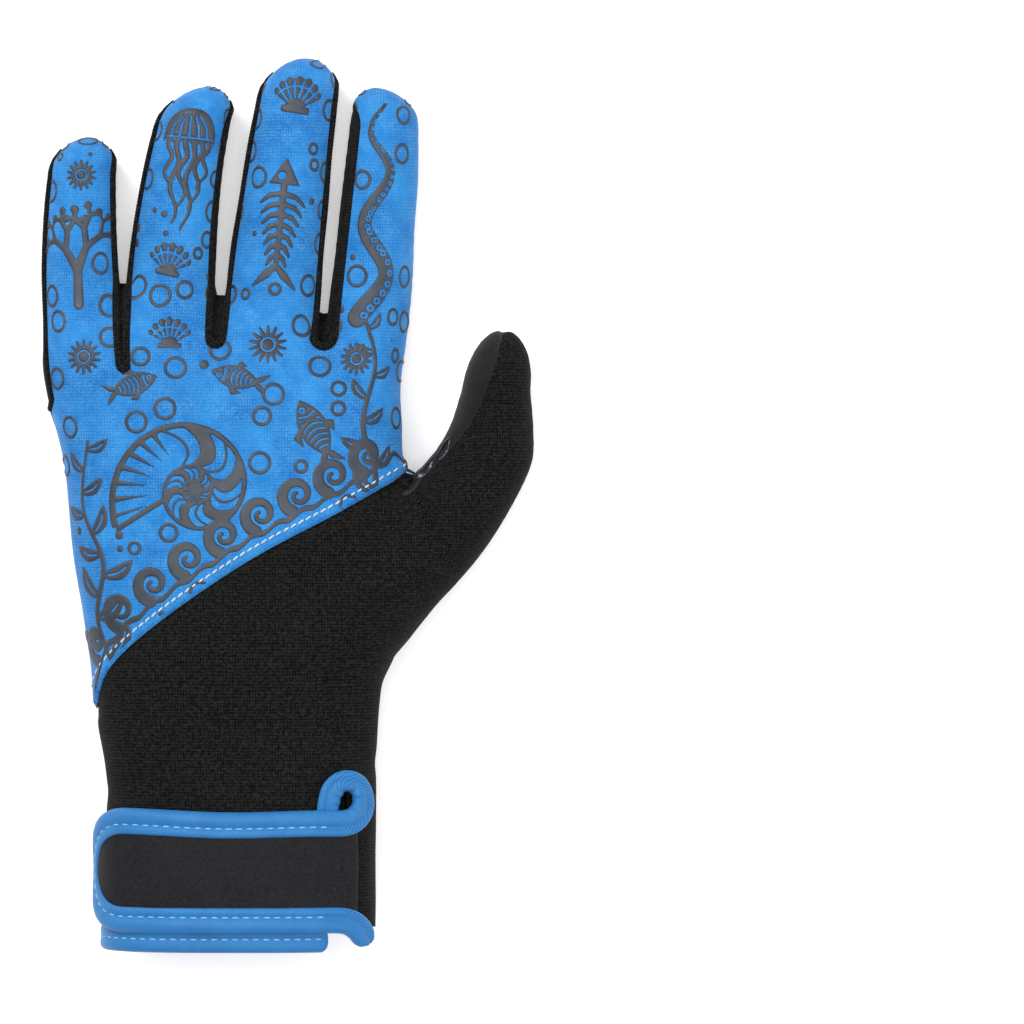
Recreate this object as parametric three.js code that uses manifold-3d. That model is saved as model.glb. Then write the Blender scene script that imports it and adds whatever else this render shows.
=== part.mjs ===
// A neoprene diving glove for the left hand, lying palm down, in millimetres.
// +X points to the thumb's side, +Y to the fingertips and +Z up, out of the back of the hand.
// The glove is one hollow shell of fingers, thumb and hand, cut along its seams into panels.
// Round the cuff lie a strap and the tape that binds the strap, the hem and the vent.
import * as THREE from "three";
import { mergeVertices } from "three/addons/utils/BufferGeometryUtils.js";
import Module from "manifold-3d";

const wasm = await Module();
wasm.setup();

// Sizes that can be set one by one, in millimetres.
const HAND_LENGTH = 182; // hem to the crotch beside the middle finger
const HAND_WIDTH = 100; // across the knuckles
const HAND_HEIGHT = 29.5; // at the knuckles, palm to back
const KNUCKLE_ROUND = 28; // length over which the hand rounds down to the crotches
const KNUCKLE_SLANT = 0.18; // fall of the knuckle line to the thumb's side, per mm across
const CROTCH_HEIGHT = 9; // middle of the web between two fingers, above the floor
const FINGER_REACH = 96.4; // of the middle finger, from the knuckle line to its tip
const FINGER_WIDTH = 27.3; // of the middle finger
const FINGER_HEIGHT = 21; // of the middle finger
const THUMB_LENGTH = 92; // along the hand, from the thumb's root to its tip
const THUMB_REACH = 50; // sideways, from the thumb's root to its tip
const THUMB_WIDTH = 23.6;
const THUMB_HEIGHT = 20.5;
const THUMB_TIP = 17; // length of the thumb's round end
const THUMB_TIP_LEAN = 2; // of the very end, away from the hand
const WALL = 2.2; // neoprene and suede
const FLAT = 1.2; // how far the soft underside is pressed flat by lying on it
const SIDE_SEAM_HEIGHT = 6; // seam between the palm and the back, above the floor
const SEAM_GAP = 0.3; // between two panels at a seam
const LAY_GAP = 0.3; // between the cuff and what lies on it
const STRAP_LENGTH = 79;
const STRAP_WIDTH = 34.4; // with its binding
const STRAP_THICKNESS = 2.4;
const STRAP_OVERHANG = 4.8; // how far the strap's round end passes the cuff's side
const STRAP_PLACE = 22.8; // middle of the strap above the hem
const STRAP_SHORT = 2.8; // how far the strap ends before its binding
const TAPE_WIDTH = 7.2; // of the strap's binding seen on one face
const HEM_WIDTH = 5.3; // of the hem's binding below the strap
const TAPE_THICKNESS = 1.1;
const VENT_PLACE = 33.6; // middle of the vent, from the hand's middle line
const VENT_WIDTH = 3;
const VENT_LENGTH = 44; // from the hem up
const LOOP_LENGTH = 11.2; // of the tape's loop above the strap, at the top of the vent
const LOOP_WIDTH = 15;
const LOOP_TAPE = 4; // width of the gathered tape round the loop's hole
const TAIL_LENGTH = 9; // of the twisted end of the tape
const TAIL_WIDTH = 7.5;

// Sections across the hand from the hem to the knuckles. along is a share of HAND_LENGTH,
// left and right of HAND_WIDTH, height of HAND_HEIGHT and rest of FLAT, below the floor.
const HAND_ROWS = [
  { along: 0, left: -0.329, right: 0.427, height: 1.14, rest: -1.5 },
  { along: 0.134, left: -0.329, right: 0.427, height: 1.12, rest: -1 },
  { along: 0.264, left: -0.329, right: 0.43, height: 1.08, rest: 0.2 },
  { along: 0.356, left: -0.357, right: 0.434, height: 1.04, rest: 1 },
  { along: 0.449, left: -0.376, right: 0.455, height: 1.05, rest: 1 },
  { along: 0.579, left: -0.419, right: 0.48, height: 1.05, rest: 1 },
  { along: 0.708, left: -0.449, right: 0.495, height: 1.01, rest: 1 },
  { along: 0.845, left: -0.489, right: 0.492, height: 0.94, rest: 1 },
];

// Fingers from the little finger to the index. root is a share of HAND_WIDTH; reach, lean and
// bow of FINGER_REACH; width and apex of FINGER_WIDTH; height of FINGER_HEIGHT. lean moves the
// tip sideways, bow the middle and apex the very end.
const FINGERS = [
  { root: -0.376, reach: 0.77, width: 0.828, height: 0.857, lean: -0.018, bow: -0.019, apex: 0.022 },
  { root: -0.138, reach: 0.915, width: 0.938, height: 0.952, lean: 0.079, bow: -0.04, apex: 0.051 },
  { root: 0.116, reach: 1, width: 1, height: 1, lean: 0.112, bow: -0.011, apex: 0.007 },
  { root: 0.374, reach: 0.913, width: 0.857, height: 0.929, lean: 0.081, bow: 0.004, apex: -0.095 },
];

// Widths and heights along a finger, from inside the hand to where its end begins to round.
const FINGER_ROWS = [
  { along: -0.34, width: 0.55, height: 0.9 },
  { along: 0, width: 0.97, height: 1.1 },
  { along: 0.34, width: 1, height: 1.02 },
  { along: 0.68, width: 0.94, height: 0.97 },
  { along: 1, width: 0.85, height: 0.88 },
];

// Sections of the thumb from its root to where its end begins to round: along is a share of
// THUMB_LENGTH without the round end, across of THUMB_REACH.
const THUMB_ROWS = [
  { along: 0, across: 0, width: 1.5, height: 1.3 },
  { along: 0.18, across: 0.23, width: 1.62, height: 1.34 },
  { along: 0.36, across: 0.478, width: 1.6, height: 1.3 },
  { along: 0.54, across: 0.69, width: 1.46, height: 1.2 },
  { along: 0.72, across: 0.878, width: 1.22, height: 1.06 },
  { along: 0.85, across: 0.94, width: 1, height: 0.98 },
  { along: 1, across: 0.965, width: 0.82, height: 0.9 },
];
const THUMB_ROOT_ACROSS = 0.281; // share of HAND_WIDTH
const THUMB_ROOT_ALONG = 0.449; // share of HAND_LENGTH

// Slots between two fingers: the bottom of each, a share of HAND_LENGTH above the hem, and
// the seams beside it, shares of the half width of the finger on its left and on its right.
const SLOTS = [
  { name: "gusset_little_ring", between: [0, 1], bottom: 0.887, leftSeam: 0.82, rightSeam: 0.88 },
  { name: "gusset_ring_middle", between: [1, 2], bottom: 0.924, leftSeam: 0.8, rightSeam: 0.88 },
  { name: "gusset_middle_index", between: [2, 3], bottom: 0.921, leftSeam: 0.85, rightSeam: 0.6 },
];
const LITTLE_SIDE_SEAM = 0.88; // share of the little finger's half width
const LITTLE_SIDE_BOTTOM = 0.8; // share of HAND_LENGTH above the hem
const GUSSET_END = 0.72; // share of a finger's round end that the gussets reach
const CROTCH_SPAN = 0.13; // share of HAND_LENGTH in which a slot cuts straight down

// The seam between the blue back and the gauntlet, in shares of the hand's width and length.
const CROSS_SEAM = [
  { across: 0.52, along: 0.733 },
  { across: 0.326, along: 0.671 },
  { across: 0.076, along: 0.597 },
  { across: -0.169, along: 0.505 },
  { across: -0.317, along: 0.431 },
  { across: -0.36, along: 0.36 },
];
const HEEL_SEAM = 0.3; // share of HAND_LENGTH, lower edge of the suede palm

// The seam along the thumb, from the web to the tip: along is a share of THUMB_LENGTH, and
// across counts half widths from the thumb's middle line.
const THUMB_SEAM = [
  { along: 0.5, across: -1 },
  { along: 0.58, across: -0.86 },
  { along: 0.72, across: -0.5 },
  { along: 0.88, across: -0.12 },
  { along: 1.04, across: 0.12 },
];

// How finely the shapes are cut.
const HAND_SIDES = 28;
const DIGIT_SIDES = 14;
const END_RINGS = [0.45, 0.75, 0.93];
const FAR = 400; // beyond the glove on every side
const HAND_POWER = 3; // how square the hand's section is at its sides
const OUT_OF_FINGER = 3; // half widths past which a side wedge has left its finger
const HEM_OVERRUN = 40; // the hand's body runs this far past the hem before it is cut off
const OVERLAP = 0.05; // of two regions that are joined
const STRAP_CORNER = 0.385; // radius of the strap's round end, a share of its width
const SEAM_ACROSS = { x: -0.6, y: 0.8 }; // direction across the cross seam, towards the blue

const knuckleLine = HAND_ROWS[HAND_ROWS.length - 1].along * HAND_LENGTH;
const fingers = FINGERS.map((row) => ({
  root: row.root * HAND_WIDTH,
  reach: row.reach * FINGER_REACH,
  width: row.width * FINGER_WIDTH,
  height: row.height * FINGER_HEIGHT,
  lean: row.lean * FINGER_REACH,
  bow: row.bow * FINGER_REACH,
  apex: row.apex * FINGER_WIDTH,
}));

// Value of one column of a table at a share, on a smooth curve through its rows.
function column(rows, key, share) {
  const last = rows.length - 1;
  let i = 0;
  while (i < last - 1 && rows[i + 1].along < share) i += 1;
  const a = rows[i];
  const b = rows[i + 1];
  const before = rows[Math.max(i - 1, 0)];
  const after = rows[Math.min(i + 2, last)];
  const span = b.along - a.along;
  const t = THREE.MathUtils.clamp((share - a.along) / span, 0, 1);
  const startSlope = ((b[key] - before[key]) / (b.along - before.along)) * span;
  const endSlope = ((after[key] - a[key]) / (after.along - a.along)) * span;
  const rise = b[key] - a[key];
  return (
    a[key] +
    t * (startSlope + t * (3 * rise - 2 * startSlope - endSlope + t * (startSlope + endSlope - 2 * rise)))
  );
}

// A three.js geometry as a solid.
function solid(geometry) {
  const bare = geometry.index ? geometry.toNonIndexed() : geometry.clone();
  bare.deleteAttribute("normal");
  bare.deleteAttribute("uv");
  const merged = mergeVertices(bare, 1e-4);
  const mesh = new wasm.Mesh({
    numProp: 3,
    vertProperties: merged.attributes.position.array,
    triVerts: new Uint32Array(merged.index.array),
  });
  return new wasm.Manifold(mesh);
}

// A solid skinned over rings of points, each ring going round the +Y axis the same way.
function loft(rings) {
  const sides = rings[0].length;
  const middle = (ring) =>
    ring.reduce((sum, p) => sum.add(p), new THREE.Vector3()).divideScalar(sides);
  const points = [middle(rings[0]), ...rings.flat(), middle(rings[rings.length - 1])];
  const end = points.length - 1;
  const index = [];
  for (let side = 0; side < sides; side += 1) {
    const next = (side + 1) % sides;
    index.push(0, 1 + side, 1 + next);
    for (let ring = 0; ring < rings.length - 1; ring += 1) {
      const a = 1 + ring * sides + side;
      const b = 1 + ring * sides + next;
      index.push(a, a + sides, b, b, a + sides, b + sides);
    }
    index.push(end, end - sides + next, end - sides + side);
  }
  const geometry = new THREE.BufferGeometry().setFromPoints(points).setIndex(index);
  return solid(geometry);
}

// A ring at one place along the glove: half sizes a across and b up, round (x, z).
function section(x, z, a, b, sides, power, yAt) {
  return Array.from({ length: sides }, (_, k) => {
    const turn = (2 * Math.PI * k) / sides;
    const c = Math.cos(turn);
    const dx = a * Math.sign(c) * Math.abs(c) ** (2 / power);
    return new THREE.Vector3(x + dx, yAt(x + dx), z + b * Math.sin(turn));
  });
}

// A straight column over an outline seen from above, between two heights.
function prism(points, low = -FAR, high = FAR) {
  const geometry = new THREE.ExtrudeGeometry(new THREE.Shape(points), {
    depth: high - low,
    bevelEnabled: false,
  });
  return solid(geometry.translate(0, 0, low));
}

// A box given by its lowest and highest corner.
function block(low, high) {
  const [x0, y0, z0] = low;
  const [x1, y1, z1] = high;
  const at = (x, y) => new THREE.Vector2(x, y);
  return prism([at(x0, y0), at(x1, y0), at(x1, y1), at(x0, y1)], z0, z1);
}

const joined = (solids) => solids.reduce((sum, part) => sum.add(part));
const roundEnd = (t) => Math.sqrt(Math.max(1 - t * t, 0));

// The hand at a share of its length: its middle, its half sizes and its height.
function handAt(share) {
  const left = column(HAND_ROWS, "left", share) * HAND_WIDTH;
  const right = column(HAND_ROWS, "right", share) * HAND_WIDTH;
  const b = (column(HAND_ROWS, "height", share) * HAND_HEIGHT) / 2;
  return {
    x: (left + right) / 2,
    a: (right - left) / 2,
    b,
    z: b - column(HAND_ROWS, "rest", share) * FLAT,
  };
}

// The hand's body, grown on all sides by a margin. Its front rounds down to the crotches, and
// its rows slant more and more towards the knuckles.
function handBody(grow) {
  const { smoothstep } = THREE.MathUtils;
  const slanted = (y) => (x) => y - KNUCKLE_SLANT * x * smoothstep(y, knuckleLine / 2, knuckleLine);
  const ring = (x, z, a, b, y) =>
    section(x, z, Math.max(a + grow, 0.1), Math.max(b + grow, 0.1), HAND_SIDES, HAND_POWER, slanted(y));
  const rings = [];
  const shares = HAND_ROWS.map((row) => row.along);
  for (const share of shares) {
    const at = handAt(share);
    rings.push(ring(at.x, at.z, at.a, at.b, share * HAND_LENGTH));
  }
  for (const point of rings[0]) point.y -= HEM_OVERRUN;
  const at = handAt(shares[shares.length - 1]);
  for (const t of [...END_RINGS, 1]) {
    const z = THREE.MathUtils.lerp(at.z, CROTCH_HEIGHT, t * t);
    const scale = roundEnd(t);
    const y = knuckleLine + t * (KNUCKLE_ROUND + grow);
    rings.push(
      section(at.x, z, Math.max((at.a + grow) * scale, 0.1), Math.max((at.b + grow) * scale, 0.1),
        HAND_SIDES, HAND_POWER, slanted(y)),
    );
  }
  return loft(rings);
}

// A finger at a height y: its middle and its half sizes.
function fingerAt(finger, y) {
  const end = finger.width / 2;
  const tip = knuckleLine + finger.reach;
  const share = Math.min((y - knuckleLine) / (finger.reach - end), 1);
  const whole = (y - knuckleLine) / finger.reach;
  const t = THREE.MathUtils.clamp((y - tip + end) / end, 0, 1);
  const b = (column(FINGER_ROWS, "height", share) * finger.height) / 2;
  const bend = finger.lean * whole + finger.bow * 4 * whole * (1 - whole) + finger.apex * t * t;
  return {
    x: finger.root + bend,
    z: b - FLAT,
    a: (column(FINGER_ROWS, "width", share) * finger.width) / 2,
    b,
    t,
  };
}

function fingerBody(finger, grow) {
  const end = finger.width / 2;
  const start = knuckleLine + finger.reach - end;
  const stations = FINGER_ROWS.map((row) => knuckleLine + row.along * (finger.reach - end));
  stations.push(...END_RINGS.map((t) => start + t * (end + grow)), start + end + grow);
  const rings = stations.map((y) => {
    const at = fingerAt(finger, y);
    const scale = roundEnd(Math.max(y - start, 0) / (end + grow));
    const a = Math.max((at.a + grow) * scale, 0.05);
    const b = Math.max((at.b + grow) * scale, 0.05);
    return section(at.x, at.z, a, b, DIGIT_SIDES, 2, () => y);
  });
  return loft(rings);
}

// The thumb at a height y: its middle and its half sizes.
function thumbAt(y) {
  const start = THUMB_ROOT_ALONG * HAND_LENGTH;
  const share = THREE.MathUtils.clamp((y - start) / (THUMB_LENGTH - THUMB_TIP), 0, 1);
  const t = THREE.MathUtils.clamp((y - start - THUMB_LENGTH + THUMB_TIP) / THUMB_TIP, 0, 1);
  const b = (column(THUMB_ROWS, "height", share) * THUMB_HEIGHT) / 2;
  const across = column(THUMB_ROWS, "across", share) * THUMB_REACH + THUMB_TIP_LEAN * t;
  return {
    x: THUMB_ROOT_ACROSS * HAND_WIDTH + across,
    z: b - FLAT,
    a: (column(THUMB_ROWS, "width", share) * THUMB_WIDTH) / 2,
    b,
  };
}

function thumbBody(grow) {
  const root = THUMB_ROOT_ALONG * HAND_LENGTH;
  const start = root + THUMB_LENGTH - THUMB_TIP;
  const stations = THUMB_ROWS.map((row) => root + row.along * (THUMB_LENGTH - THUMB_TIP));
  stations.push(...END_RINGS.map((t) => start + t * (THUMB_TIP + grow)), start + THUMB_TIP + grow);
  const rings = stations.map((y) => {
    const at = thumbAt(y);
    const scale = roundEnd(Math.max(y - start, 0) / (THUMB_TIP + grow));
    const a = Math.max((at.a + grow) * scale, 0.05);
    const b = Math.max((at.b + grow) * scale, 0.05);
    return section(at.x, at.z, a, b, DIGIT_SIDES, 2, () => y);
  });
  return loft(rings);
}

// The whole body grown by a margin, its underside flat at a height.
function body(grow, floor) {
  const parts = [handBody(grow), thumbBody(grow), ...fingers.map((finger) => fingerBody(finger, grow))];
  return joined(parts).intersect(block([-FAR, -FAR, floor], [FAR, FAR, FAR]));
}

// The region beside a finger that its side seam cuts off, from a height y up to the finger's
// end. side is -1 for its left and 1 for its right, and seam is a share of its half width.
function sideWedge(finger, side, seam, bottom, limit, grow) {
  const end = finger.width / 2;
  const start = knuckleLine + finger.reach - end;
  const top = start + GUSSET_END * end;
  const steps = 8;
  const rings = [];
  for (let k = 0; k <= steps; k += 1) {
    const y = THREE.MathUtils.lerp(bottom - grow, top + grow, k / steps);
    const at = fingerAt(finger, y);
    const closing = 1 - Math.min(Math.max((y - start) / (top - start), 0), 1) ** 2;
    const slope = (closing * at.b * Math.sqrt(1 - seam * seam)) / (at.a * seam);
    const out = limit ? limit(y) : at.x + side * OUT_OF_FINGER * at.a;
    const run = Math.abs(out - at.x);
    const low = SIDE_SEAM_HEIGHT;
    const corners = [
      [at.x, low - grow],
      [out, low - grow],
      [out, at.z + slope * run + grow],
      [at.x, at.z + grow],
    ];
    if (side < 0) corners.reverse();
    rings.push(corners.map(([x, z]) => new THREE.Vector3(x, y, z)));
  }
  return loft(rings);
}

// The place midway between two fingers, seen from above.
const between = (left, right) => (y) => {
  const l = fingerAt(left, y);
  const r = fingerAt(right, y);
  return (l.x + l.a + r.x - r.a) / 2;
};

// The region of one slot: a straight cut at the crotch and a wedge beside each finger.
function slotRegion(slot, grow) {
  const [left, right] = slot.between.map((i) => fingers[i]);
  const bottom = slot.bottom * HAND_LENGTH;
  const top = bottom + CROTCH_SPAN * HAND_LENGTH;
  const mid = between(left, right);
  const edge = (y, side) => {
    const at = fingerAt(side < 0 ? left : right, y);
    return side < 0 ? at.x + slot.leftSeam * at.a - grow : at.x - slot.rightSeam * at.a + grow;
  };
  const radius = (edge(bottom, 1) - edge(bottom, -1)) / 2;
  const centre = new THREE.Vector2((edge(bottom, 1) + edge(bottom, -1)) / 2, bottom + radius - grow);
  const outline = [];
  for (let k = 0; k <= 8; k += 1) {
    const turn = Math.PI * (1 + k / 8);
    outline.push(new THREE.Vector2(Math.cos(turn), Math.sin(turn)).multiplyScalar(radius).add(centre));
  }
  outline.push(new THREE.Vector2(edge(top, 1), top), new THREE.Vector2(edge(top, -1), top));
  const wedgeFoot = bottom + 2 * (radius - grow);
  return joined([
    prism(outline, SIDE_SEAM_HEIGHT - grow),
    sideWedge(left, 1, slot.leftSeam, wedgeFoot, (y) => mid(y) + OVERLAP, grow),
    sideWedge(right, -1, slot.rightSeam, wedgeFoot, (y) => mid(y) - OVERLAP, grow),
  ]);
}

function littleSideRegion(grow) {
  return sideWedge(fingers[0], -1, LITTLE_SIDE_SEAM, LITTLE_SIDE_BOTTOM * HAND_LENGTH, null, grow);
}

// Everything below the cross seam and out to the thumb, moved towards the blue by a margin.
function gauntletRegion(grow) {
  const row = ({ across, along }) =>
    new THREE.Vector2(
      across * HAND_WIDTH + SEAM_ACROSS.x * grow,
      along * HAND_LENGTH + SEAM_ACROSS.y * grow,
    );
  const seam = new THREE.SplineCurve(CROSS_SEAM.map(row)).getPoints(14);
  const web = seam[0];
  const lowest = seam[seam.length - 1];
  const outline = [
    ...seam,
    new THREE.Vector2(-FAR, lowest.y - HAND_WIDTH / 10),
    new THREE.Vector2(-FAR, -FAR),
    new THREE.Vector2(FAR, -FAR),
    new THREE.Vector2(FAR, web.y + THUMB_LENGTH),
    new THREE.Vector2(web.x + THUMB_WIDTH / 3, web.y + THUMB_LENGTH / 2),
  ];
  return prism(outline.reverse());
}

// The thumb's inner side, which belongs to the suede palm.
function thumbInnerRegion(grow) {
  const root = THUMB_ROOT_ALONG * HAND_LENGTH;
  const seam = THUMB_SEAM.map(({ along, across }) => {
    const y = root + along * THUMB_LENGTH;
    const at = thumbAt(y);
    return new THREE.Vector2(at.x + across * at.a, y);
  });
  const web = seam[0];
  const tip = seam[seam.length - 1];
  const beyond = tip.y + THUMB_LENGTH / 8;
  const outline = [
    ...seam.map((p, i) => new THREE.Vector2(p.x + (i > 0 ? grow : -grow), p.y - grow)),
    new THREE.Vector2(tip.x, beyond),
    new THREE.Vector2(web.x + THUMB_WIDTH / 3, beyond),
    new THREE.Vector2(web.x + THUMB_WIDTH / 8 - grow, web.y + THUMB_WIDTH / 3),
  ];
  return prism(outline);
}

// A layer that follows the cuff's outside, between two distances from it, over an outline.
function cuffLayer(inner, outer, outline) {
  const shape = prism(outline, HAND_HEIGHT / 2);
  return handBody(outer).subtract(handBody(inner)).intersect(shape);
}

// An outline with straight runs along X and a round end on the left.
function roundedStrip(x0, x1, y0, y1, radius) {
  const outline = new THREE.Shape();
  outline.moveTo(x1, y0);
  outline.lineTo(x1, y1);
  outline.lineTo(x0 + radius, y1);
  outline.absarc(x0 + radius, y1 - radius, radius, Math.PI / 2, Math.PI, false);
  outline.absarc(x0 + radius, y0 + radius, radius, Math.PI, 1.5 * Math.PI, false);
  return outline.getPoints(6).reverse();
}

function strapOutline(inset, short = 0) {
  const left = HAND_ROWS[0].left * HAND_WIDTH - STRAP_OVERHANG;
  return roundedStrip(
    left + inset,
    left + STRAP_LENGTH - short,
    STRAP_PLACE - STRAP_WIDTH / 2 + inset,
    STRAP_PLACE + STRAP_WIDTH / 2 - inset,
    STRAP_CORNER * STRAP_WIDTH - inset,
  );
}

function ellipseOutline(x, y, a, b, turn = 0) {
  return new THREE.EllipseCurve(x, y, a, b, 0, 2 * Math.PI, false, turn).getPoints(20).slice(1);
}

// The vent is a slit in the cuff beside the strap's fold, open at the hem.
const ventCut = (grow) =>
  block(
    [VENT_PLACE - VENT_WIDTH / 2 - grow, -FAR, HAND_HEIGHT / 2],
    [VENT_PLACE + VENT_WIDTH / 2 + grow, VENT_LENGTH + grow, FAR],
  );

const clip = (y0, y1) => block([-FAR, y0, 0], [FAR, y1, FAR]);

// The shell, open at the cuff and set back inside the hem's tape.
const hemInset = TAPE_THICKNESS + LAY_GAP;
const shell = body(0, 0)
  .subtract(body(-WALL, WALL))
  .intersect(clip(hemInset, FAR))
  .subtract(ventCut(0));
const upper = block([-FAR, -FAR, SIDE_SEAM_HEIGHT + SEAM_GAP], [FAR, FAR, FAR]);
const heelLine = HEEL_SEAM * HAND_LENGTH;
const slots = SLOTS.map((slot) => ({
  name: slot.name,
  tight: slotRegion(slot, 0),
  wide: slotRegion(slot, SEAM_GAP),
}));
slots.push({
  name: "gusset_little_side",
  tight: littleSideRegion(0),
  wide: littleSideRegion(SEAM_GAP),
});

function backPanel() {
  const taken = slots.map((slot) => slot.wide);
  taken.push(gauntletRegion(SEAM_GAP), thumbInnerRegion(SEAM_GAP));
  return shell.intersect(upper).subtract(joined(taken));
}

function gauntletPanel() {
  const above = shell.intersect(upper).intersect(gauntletRegion(0));
  const heel = shell.intersect(clip(-FAR, heelLine));
  return above.add(heel).subtract(thumbInnerRegion(SEAM_GAP));
}

function palmPanel() {
  const low = block([-FAR, heelLine + SEAM_GAP, -FAR], [FAR, FAR, SIDE_SEAM_HEIGHT]);
  return shell.intersect(low.add(thumbInnerRegion(0)));
}

const gusset = (slot) => shell.intersect(upper).intersect(slot.tight);

function wristStrap() {
  const outline = strapOutline(TAPE_WIDTH + SEAM_GAP, STRAP_SHORT);
  return cuffLayer(LAY_GAP, LAY_GAP + STRAP_THICKNESS, outline);
}

function strapBinding() {
  const band = cuffLayer(LAY_GAP, LAY_GAP + STRAP_THICKNESS + TAPE_THICKNESS, strapOutline(0));
  return band.subtract(prism(strapOutline(TAPE_WIDTH)));
}

// A folded tape that holds the hem between its two leaves.
function cuffBinding() {
  const outside = handBody(TAPE_THICKNESS + LAY_GAP).subtract(handBody(-WALL - LAY_GAP - TAPE_THICKNESS));
  const held = handBody(LAY_GAP).subtract(handBody(-WALL - LAY_GAP));
  return outside
    .intersect(clip(0, HEM_WIDTH))
    .subtract(held.intersect(clip(TAPE_THICKNESS, FAR)))
    .subtract(ventCut(LAY_GAP));
}

function ventLoop() {
  const foot = STRAP_PLACE + STRAP_WIDTH / 2 + LAY_GAP;
  const y = foot + LOOP_LENGTH / 2;
  const ring = ellipseOutline(VENT_PLACE, y, LOOP_WIDTH / 2, LOOP_LENGTH / 2);
  const hole = ellipseOutline(VENT_PLACE, y, LOOP_WIDTH / 2 - LOOP_TAPE, LOOP_LENGTH / 2 - LOOP_TAPE);
  const lay = LAY_GAP + STRAP_THICKNESS + TAPE_THICKNESS;
  return cuffLayer(LAY_GAP, lay, ring).subtract(prism(hole));
}

function bindingTail() {
  const y = TAIL_LENGTH / 2;
  const x = VENT_PLACE + VENT_WIDTH / 2 + TAIL_WIDTH / 2 + LAY_GAP;
  const lay = 2 * LAY_GAP + TAPE_THICKNESS;
  const top = STRAP_PLACE - STRAP_WIDTH / 2 - LAY_GAP;
  const outline = ellipseOutline(x, y, TAIL_WIDTH / 2, TAIL_LENGTH / 2, -0.3);
  return cuffLayer(lay, lay + STRAP_THICKNESS, outline).intersect(clip(0, top));
}

const BLUE_NEOPRENE = { color: 0x2f7fd6, roughness: 0.78, metalness: 0 };
const BLACK_NEOPRENE = { color: 0x161616, roughness: 0.85, metalness: 0 };
const SUEDE = { color: 0x121214, roughness: 0.95, metalness: 0 };
const STRAP_CLOTH = { color: 0x1e1f23, roughness: 0.6, metalness: 0 };
const TAPE = { color: 0x2f74c4, roughness: 0.55, metalness: 0 };

// A named mesh of one solid, in its own material. Where two hollows meet inside the glove a
// cut can leave crumbs of wall that touch nothing, so the piece is the largest body.
function piece(name, made, look) {
  const largest = made.decompose().sort((p, q) => q.volume() - p.volume())[0];
  const { numProp, vertProperties, triVerts } = largest.getMesh();
  const geometry = new THREE.BufferGeometry();
  const positions = new Float32Array((vertProperties.length / numProp) * 3);
  for (let i = 0; i < positions.length / 3; i += 1) {
    positions.set(vertProperties.subarray(i * numProp, i * numProp + 3), i * 3);
  }
  geometry.setAttribute("position", new THREE.BufferAttribute(positions, 3));
  geometry.setIndex(new THREE.BufferAttribute(triVerts, 1));
  geometry.computeVertexNormals();
  const mesh = new THREE.Mesh(geometry, new THREE.MeshStandardMaterial(look));
  mesh.name = name;
  return mesh;
}

const glove = new THREE.Group();
glove.add(piece("back_panel", backPanel(), BLUE_NEOPRENE));
glove.add(piece("gauntlet_panel", gauntletPanel(), BLACK_NEOPRENE));
glove.add(piece("palm_panel", palmPanel(), SUEDE));
for (const slot of slots) glove.add(piece(slot.name, gusset(slot), BLACK_NEOPRENE));
glove.add(piece("wrist_strap", wristStrap(), STRAP_CLOTH));
glove.add(piece("strap_binding", strapBinding(), TAPE));
glove.add(piece("cuff_binding", cuffBinding(), TAPE));
glove.add(piece("vent_loop", ventLoop(), TAPE));
glove.add(piece("binding_tail", bindingTail(), TAPE));

// The origin is under the middle of the glove, on the floor.
const box = new THREE.Box3().setFromObject(glove);
const centre = box.getCenter(new THREE.Vector3());
glove.position.set(-centre.x, -centre.y, -box.min.z);

export default glove;
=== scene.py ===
# %% [markdown]
# # A neoprene diving glove, dressed for its portrait
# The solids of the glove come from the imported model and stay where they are. This script
# makes the surfaces that the eye sees: knitted neoprene, suede, a raised rubber print, rolled
# seam edges, satin tape and every stitch. All of it is worked out with numpy in the solids'
# own frame, so nothing has to be fitted afterwards.

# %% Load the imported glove
from math import pi

import bpy
import numpy as np
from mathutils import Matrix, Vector


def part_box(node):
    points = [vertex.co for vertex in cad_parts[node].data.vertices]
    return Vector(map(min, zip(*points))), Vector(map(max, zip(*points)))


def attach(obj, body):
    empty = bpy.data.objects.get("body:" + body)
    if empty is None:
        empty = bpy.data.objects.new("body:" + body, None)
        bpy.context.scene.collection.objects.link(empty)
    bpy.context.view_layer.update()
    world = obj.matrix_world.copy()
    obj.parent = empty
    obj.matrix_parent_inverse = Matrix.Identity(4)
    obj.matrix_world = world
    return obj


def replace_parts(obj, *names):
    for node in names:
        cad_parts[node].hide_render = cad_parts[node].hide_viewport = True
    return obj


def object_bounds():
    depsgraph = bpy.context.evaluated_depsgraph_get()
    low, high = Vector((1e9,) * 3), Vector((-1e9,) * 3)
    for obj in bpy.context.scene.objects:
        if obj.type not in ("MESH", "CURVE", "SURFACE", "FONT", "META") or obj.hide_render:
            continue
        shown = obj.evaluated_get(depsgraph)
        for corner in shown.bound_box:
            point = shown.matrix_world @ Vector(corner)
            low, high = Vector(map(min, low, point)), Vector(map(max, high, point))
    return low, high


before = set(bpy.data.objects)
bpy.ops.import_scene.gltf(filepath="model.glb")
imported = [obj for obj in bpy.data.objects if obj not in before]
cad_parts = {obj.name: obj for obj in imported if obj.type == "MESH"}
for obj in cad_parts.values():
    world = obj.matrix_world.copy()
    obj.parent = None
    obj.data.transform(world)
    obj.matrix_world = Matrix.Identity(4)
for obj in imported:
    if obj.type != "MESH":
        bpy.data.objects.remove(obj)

cad_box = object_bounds()
print("solid glove, metres:", [tuple(round(c, 4) for c in corner) for corner in cad_box])

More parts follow.
